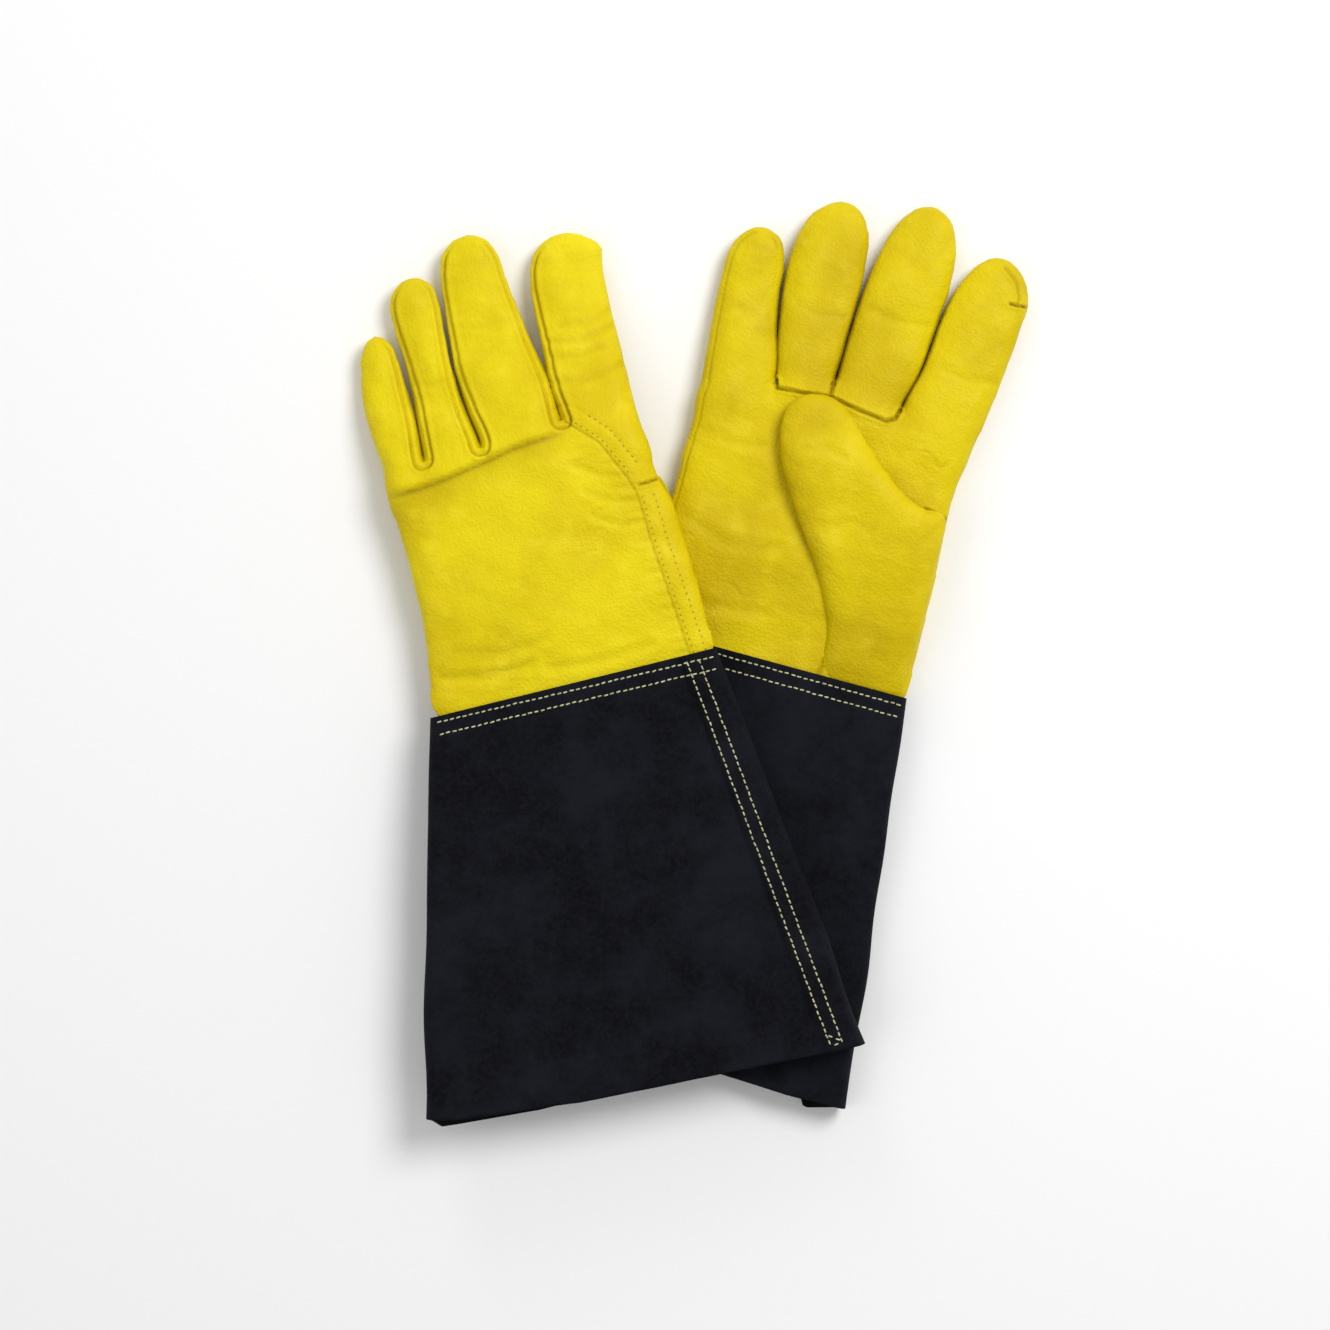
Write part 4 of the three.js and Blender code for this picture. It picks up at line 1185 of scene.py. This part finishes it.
def yellow_leather(name, bright, deep, painted_shade_colour):
    n = Nodes(name)
    patches = n.ramp(n.noise(22, 4), 0.35, 0.68)
    colour = n.mix(patches, bright, deep)
    fade = n.ramp(n.noise(65, 3), 0.5, 0.75, 0.0, 0.35)
    pale = tuple(min(1.0, c * 1.12 + 0.02) for c in bright[:3]) + (1.0,)
    colour = n.mix(fade, colour, pale)
    grain = n.cells(720.0)
    pores = n.ramp(grain, 0.0, 0.32, 1.0, 0.0)
    speck = tuple(c * 0.72 for c in deep[:3]) + (1.0,)
    colour = n.mix(n.math("MULTIPLY", pores, 0.16), colour, speck)
    # Painted shade in creases, seams, wrinkles and between the fingers, towards the shade colour.
    colour = n.mix(n.painted_shade(), colour, painted_shade_colour)
    roughness = n.ramp(n.noise(90, 3), 0.3, 0.7, 0.46, 0.62)
    fine = n.bump(n.noise(1400, 2), 0.16, 0.0004)
    normal = n.bump(grain, 0.42, 0.00055, fine)
    normal = n.bump(n.noise(260, 4, 0.6), 0.16, 0.0011, normal)
    n.wire(colour, roughness, normal)
    n.shader.inputs["Specular IOR Level"].default_value = 0.15
    return n.material


def dark_suede():
    n = Nodes("dark_suede")
    mottle = n.ramp(n.noise(30, 5, 0.62), 0.36, 0.70)
    colour = n.mix(mottle, srgb(7, 7, 10), srgb(23, 25, 31))
    nap = n.ramp(n.noise(420, 4, 0.7), 0.3, 0.75, 0.0, 0.55)
    colour = n.mix(nap, colour, srgb(26, 27, 34))
    lint = n.ramp(n.noise(900, 2, 0.8), 0.72, 0.80, 0.0, 0.35)
    colour = n.mix(lint, colour, srgb(70, 72, 80))
    # Painted shade at the foot of the lap's cut edge and inside the tube.
    colour = n.mix(n.math("MULTIPLY", n.painted_shade(), 0.75), colour, srgb(6, 6, 8))
    roughness = n.ramp(n.noise(200, 3), 0.3, 0.7, 0.88, 1.0)
    fine = n.bump(n.noise(1500, 3, 0.8), 0.5, 0.0006)
    normal = n.bump(n.noise(170, 5, 0.7), 0.35, 0.0014, fine)
    n.wire(colour, roughness, normal)
    n.shader.inputs["Specular IOR Level"].default_value = 0.1
    n.shader.inputs["Sheen Weight"].default_value = 0.03
    n.shader.inputs["Sheen Roughness"].default_value = 0.6
    n.shader.inputs["Sheen Tint"].default_value = srgb(120, 128, 160)
    return n.material


def thread(name, pale, dull, hole_shade):
    n = Nodes(name)
    colour = n.mix(n.ramp(n.noise(600, 2), 0.35, 0.7), pale, dull)
    # Painted shade at the stitch ends, where the thread dips into its needle holes.
    colour = n.mix(n.painted_shade(), colour, hole_shade)
    roughness = n.ramp(n.noise(500, 2), 0.3, 0.7, 0.55, 0.75)
    n.wire(colour, roughness, n.bump(n.noise(2500, 2), 0.5, 0.0003))
    return n.material


# ---------------------------------------------------------------- studio
def make_floor():
    """A plain pale floor just under the lowest piece."""
    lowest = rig.bounds()[0].z
    bpy.ops.mesh.primitive_plane_add(size=6, location=(0, 0, lowest - 0.0002))
    floor = bpy.context.object
    floor.name = "floor"
    n = Nodes("floor_paper")
    n.shader.inputs["Base Color"].default_value = (0.94, 0.94, 0.94, 1)
    n.shader.inputs["Roughness"].default_value = 0.9
    floor.data.materials.append(n.material)
    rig.stage(floor)


def make_light(name, spot, size, power):
    """A soft round light that shines on the middle of the pair."""
    data = bpy.data.lights.new(name, "AREA")
    data.shape = "DISK"
    data.size = size
    data.energy = power
    light = bpy.data.objects.new(name, data)
    bpy.context.scene.collection.objects.link(light)
    light.location = spot
    light.rotation_euler = (-mathutils.Vector(spot)).to_track_quat("-Z", "Y").to_euler()


def make_world(strength):
    world = bpy.data.worlds.new("studio")
    bpy.context.scene.world = world
    world.use_nodes = True
    background = world.node_tree.nodes["Background"]
    background.inputs["Color"].default_value = (1, 1, 1, 1)
    background.inputs["Strength"].default_value = strength


VIEW_WIDTH = 0.6078  # metres of table that the picture takes in
VIEW_ASIDE = -0.0123  # how far its middle lies from the pair's


def make_camera():
    """Straight above the pair, as far away as a long lens needs to take in a square."""
    data = bpy.data.cameras.new("camera")
    data.lens = 100
    data.sensor_width = 36
    camera = bpy.data.objects.new("camera", data)
    bpy.context.scene.collection.objects.link(camera)
    lo, hi = CAD_BOX
    away = VIEW_WIDTH * data.lens / data.sensor_width
    camera.location = ((lo.x + hi.x) / 2 + VIEW_ASIDE, (lo.y + hi.y) / 2, (lo.z + hi.z) / 2 + away)
    bpy.context.scene.camera = camera


# ---------------------------------------------------------------- build
def main():
    random = np.random.default_rng(7)
    # The last colour of each leather is its painted shade colour.
    left_leather = yellow_leather("left_grain_leather", srgb(231, 211, 12), srgb(215, 190, 0),
                                  srgb(126, 94, 0))
    right_leather = yellow_leather("right_grain_leather", srgb(220, 197, 0), srgb(202, 175, 0),
                                   srgb(104, 76, 0))
    suede = dark_suede()
    # The last colour of each thread is the painted shade at its needle holes.
    cream = thread("cream_thread", srgb(206, 204, 162), srgb(162, 160, 120), srgb(40, 38, 30))
    yellow = thread("yellow_thread", srgb(196, 168, 30), srgb(168, 138, 30), srgb(92, 66, 18))
    for glove, leather in ((RIGHT, right_leather), (LEFT, left_leather)):
        glove["placing"] = Placing(glove)
        relief = Relief(glove, random)
        hands = make_hand(glove, leather, relief)
        make_thumb(glove, leather, relief)
        gauntlet = make_gauntlet(glove, suede, random)
        bpy.context.view_layer.update()
        rows = list(sew_cuffs(glove, gauntlet, cream, random))
        if glove["palm_up"]:
            declare_cut(gauntlet, rows, ["floor"])
        else:
            rows += sew_lap(glove, gauntlet, cream, random)
            sew_back_seam(glove, hands["back"], yellow, random)
            declare_cut(gauntlet, rows, ["right_gauntlet_suede", "right_palm_leather"])
    make_floor()
    make_camera()
    bpy.context.scene.view_settings.view_transform = "Standard"
    make_world(0.45)
    make_light("key", (0.8, 0.7, 1.5), 0.9, 21)
    make_light("fill", (-1.3, -0.4, 1.6), 1.4, 5)
    make_light("rim", (-0.6, 1.7, 0.8), 0.7, 5)


main()
new_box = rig.bounds()
with open("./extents.json", "w") as out:
    json.dump({"cad": [list(CAD_BOX[0]), list(CAD_BOX[1])],
               "visual": [list(new_box[0]), list(new_box[1])]}, out)
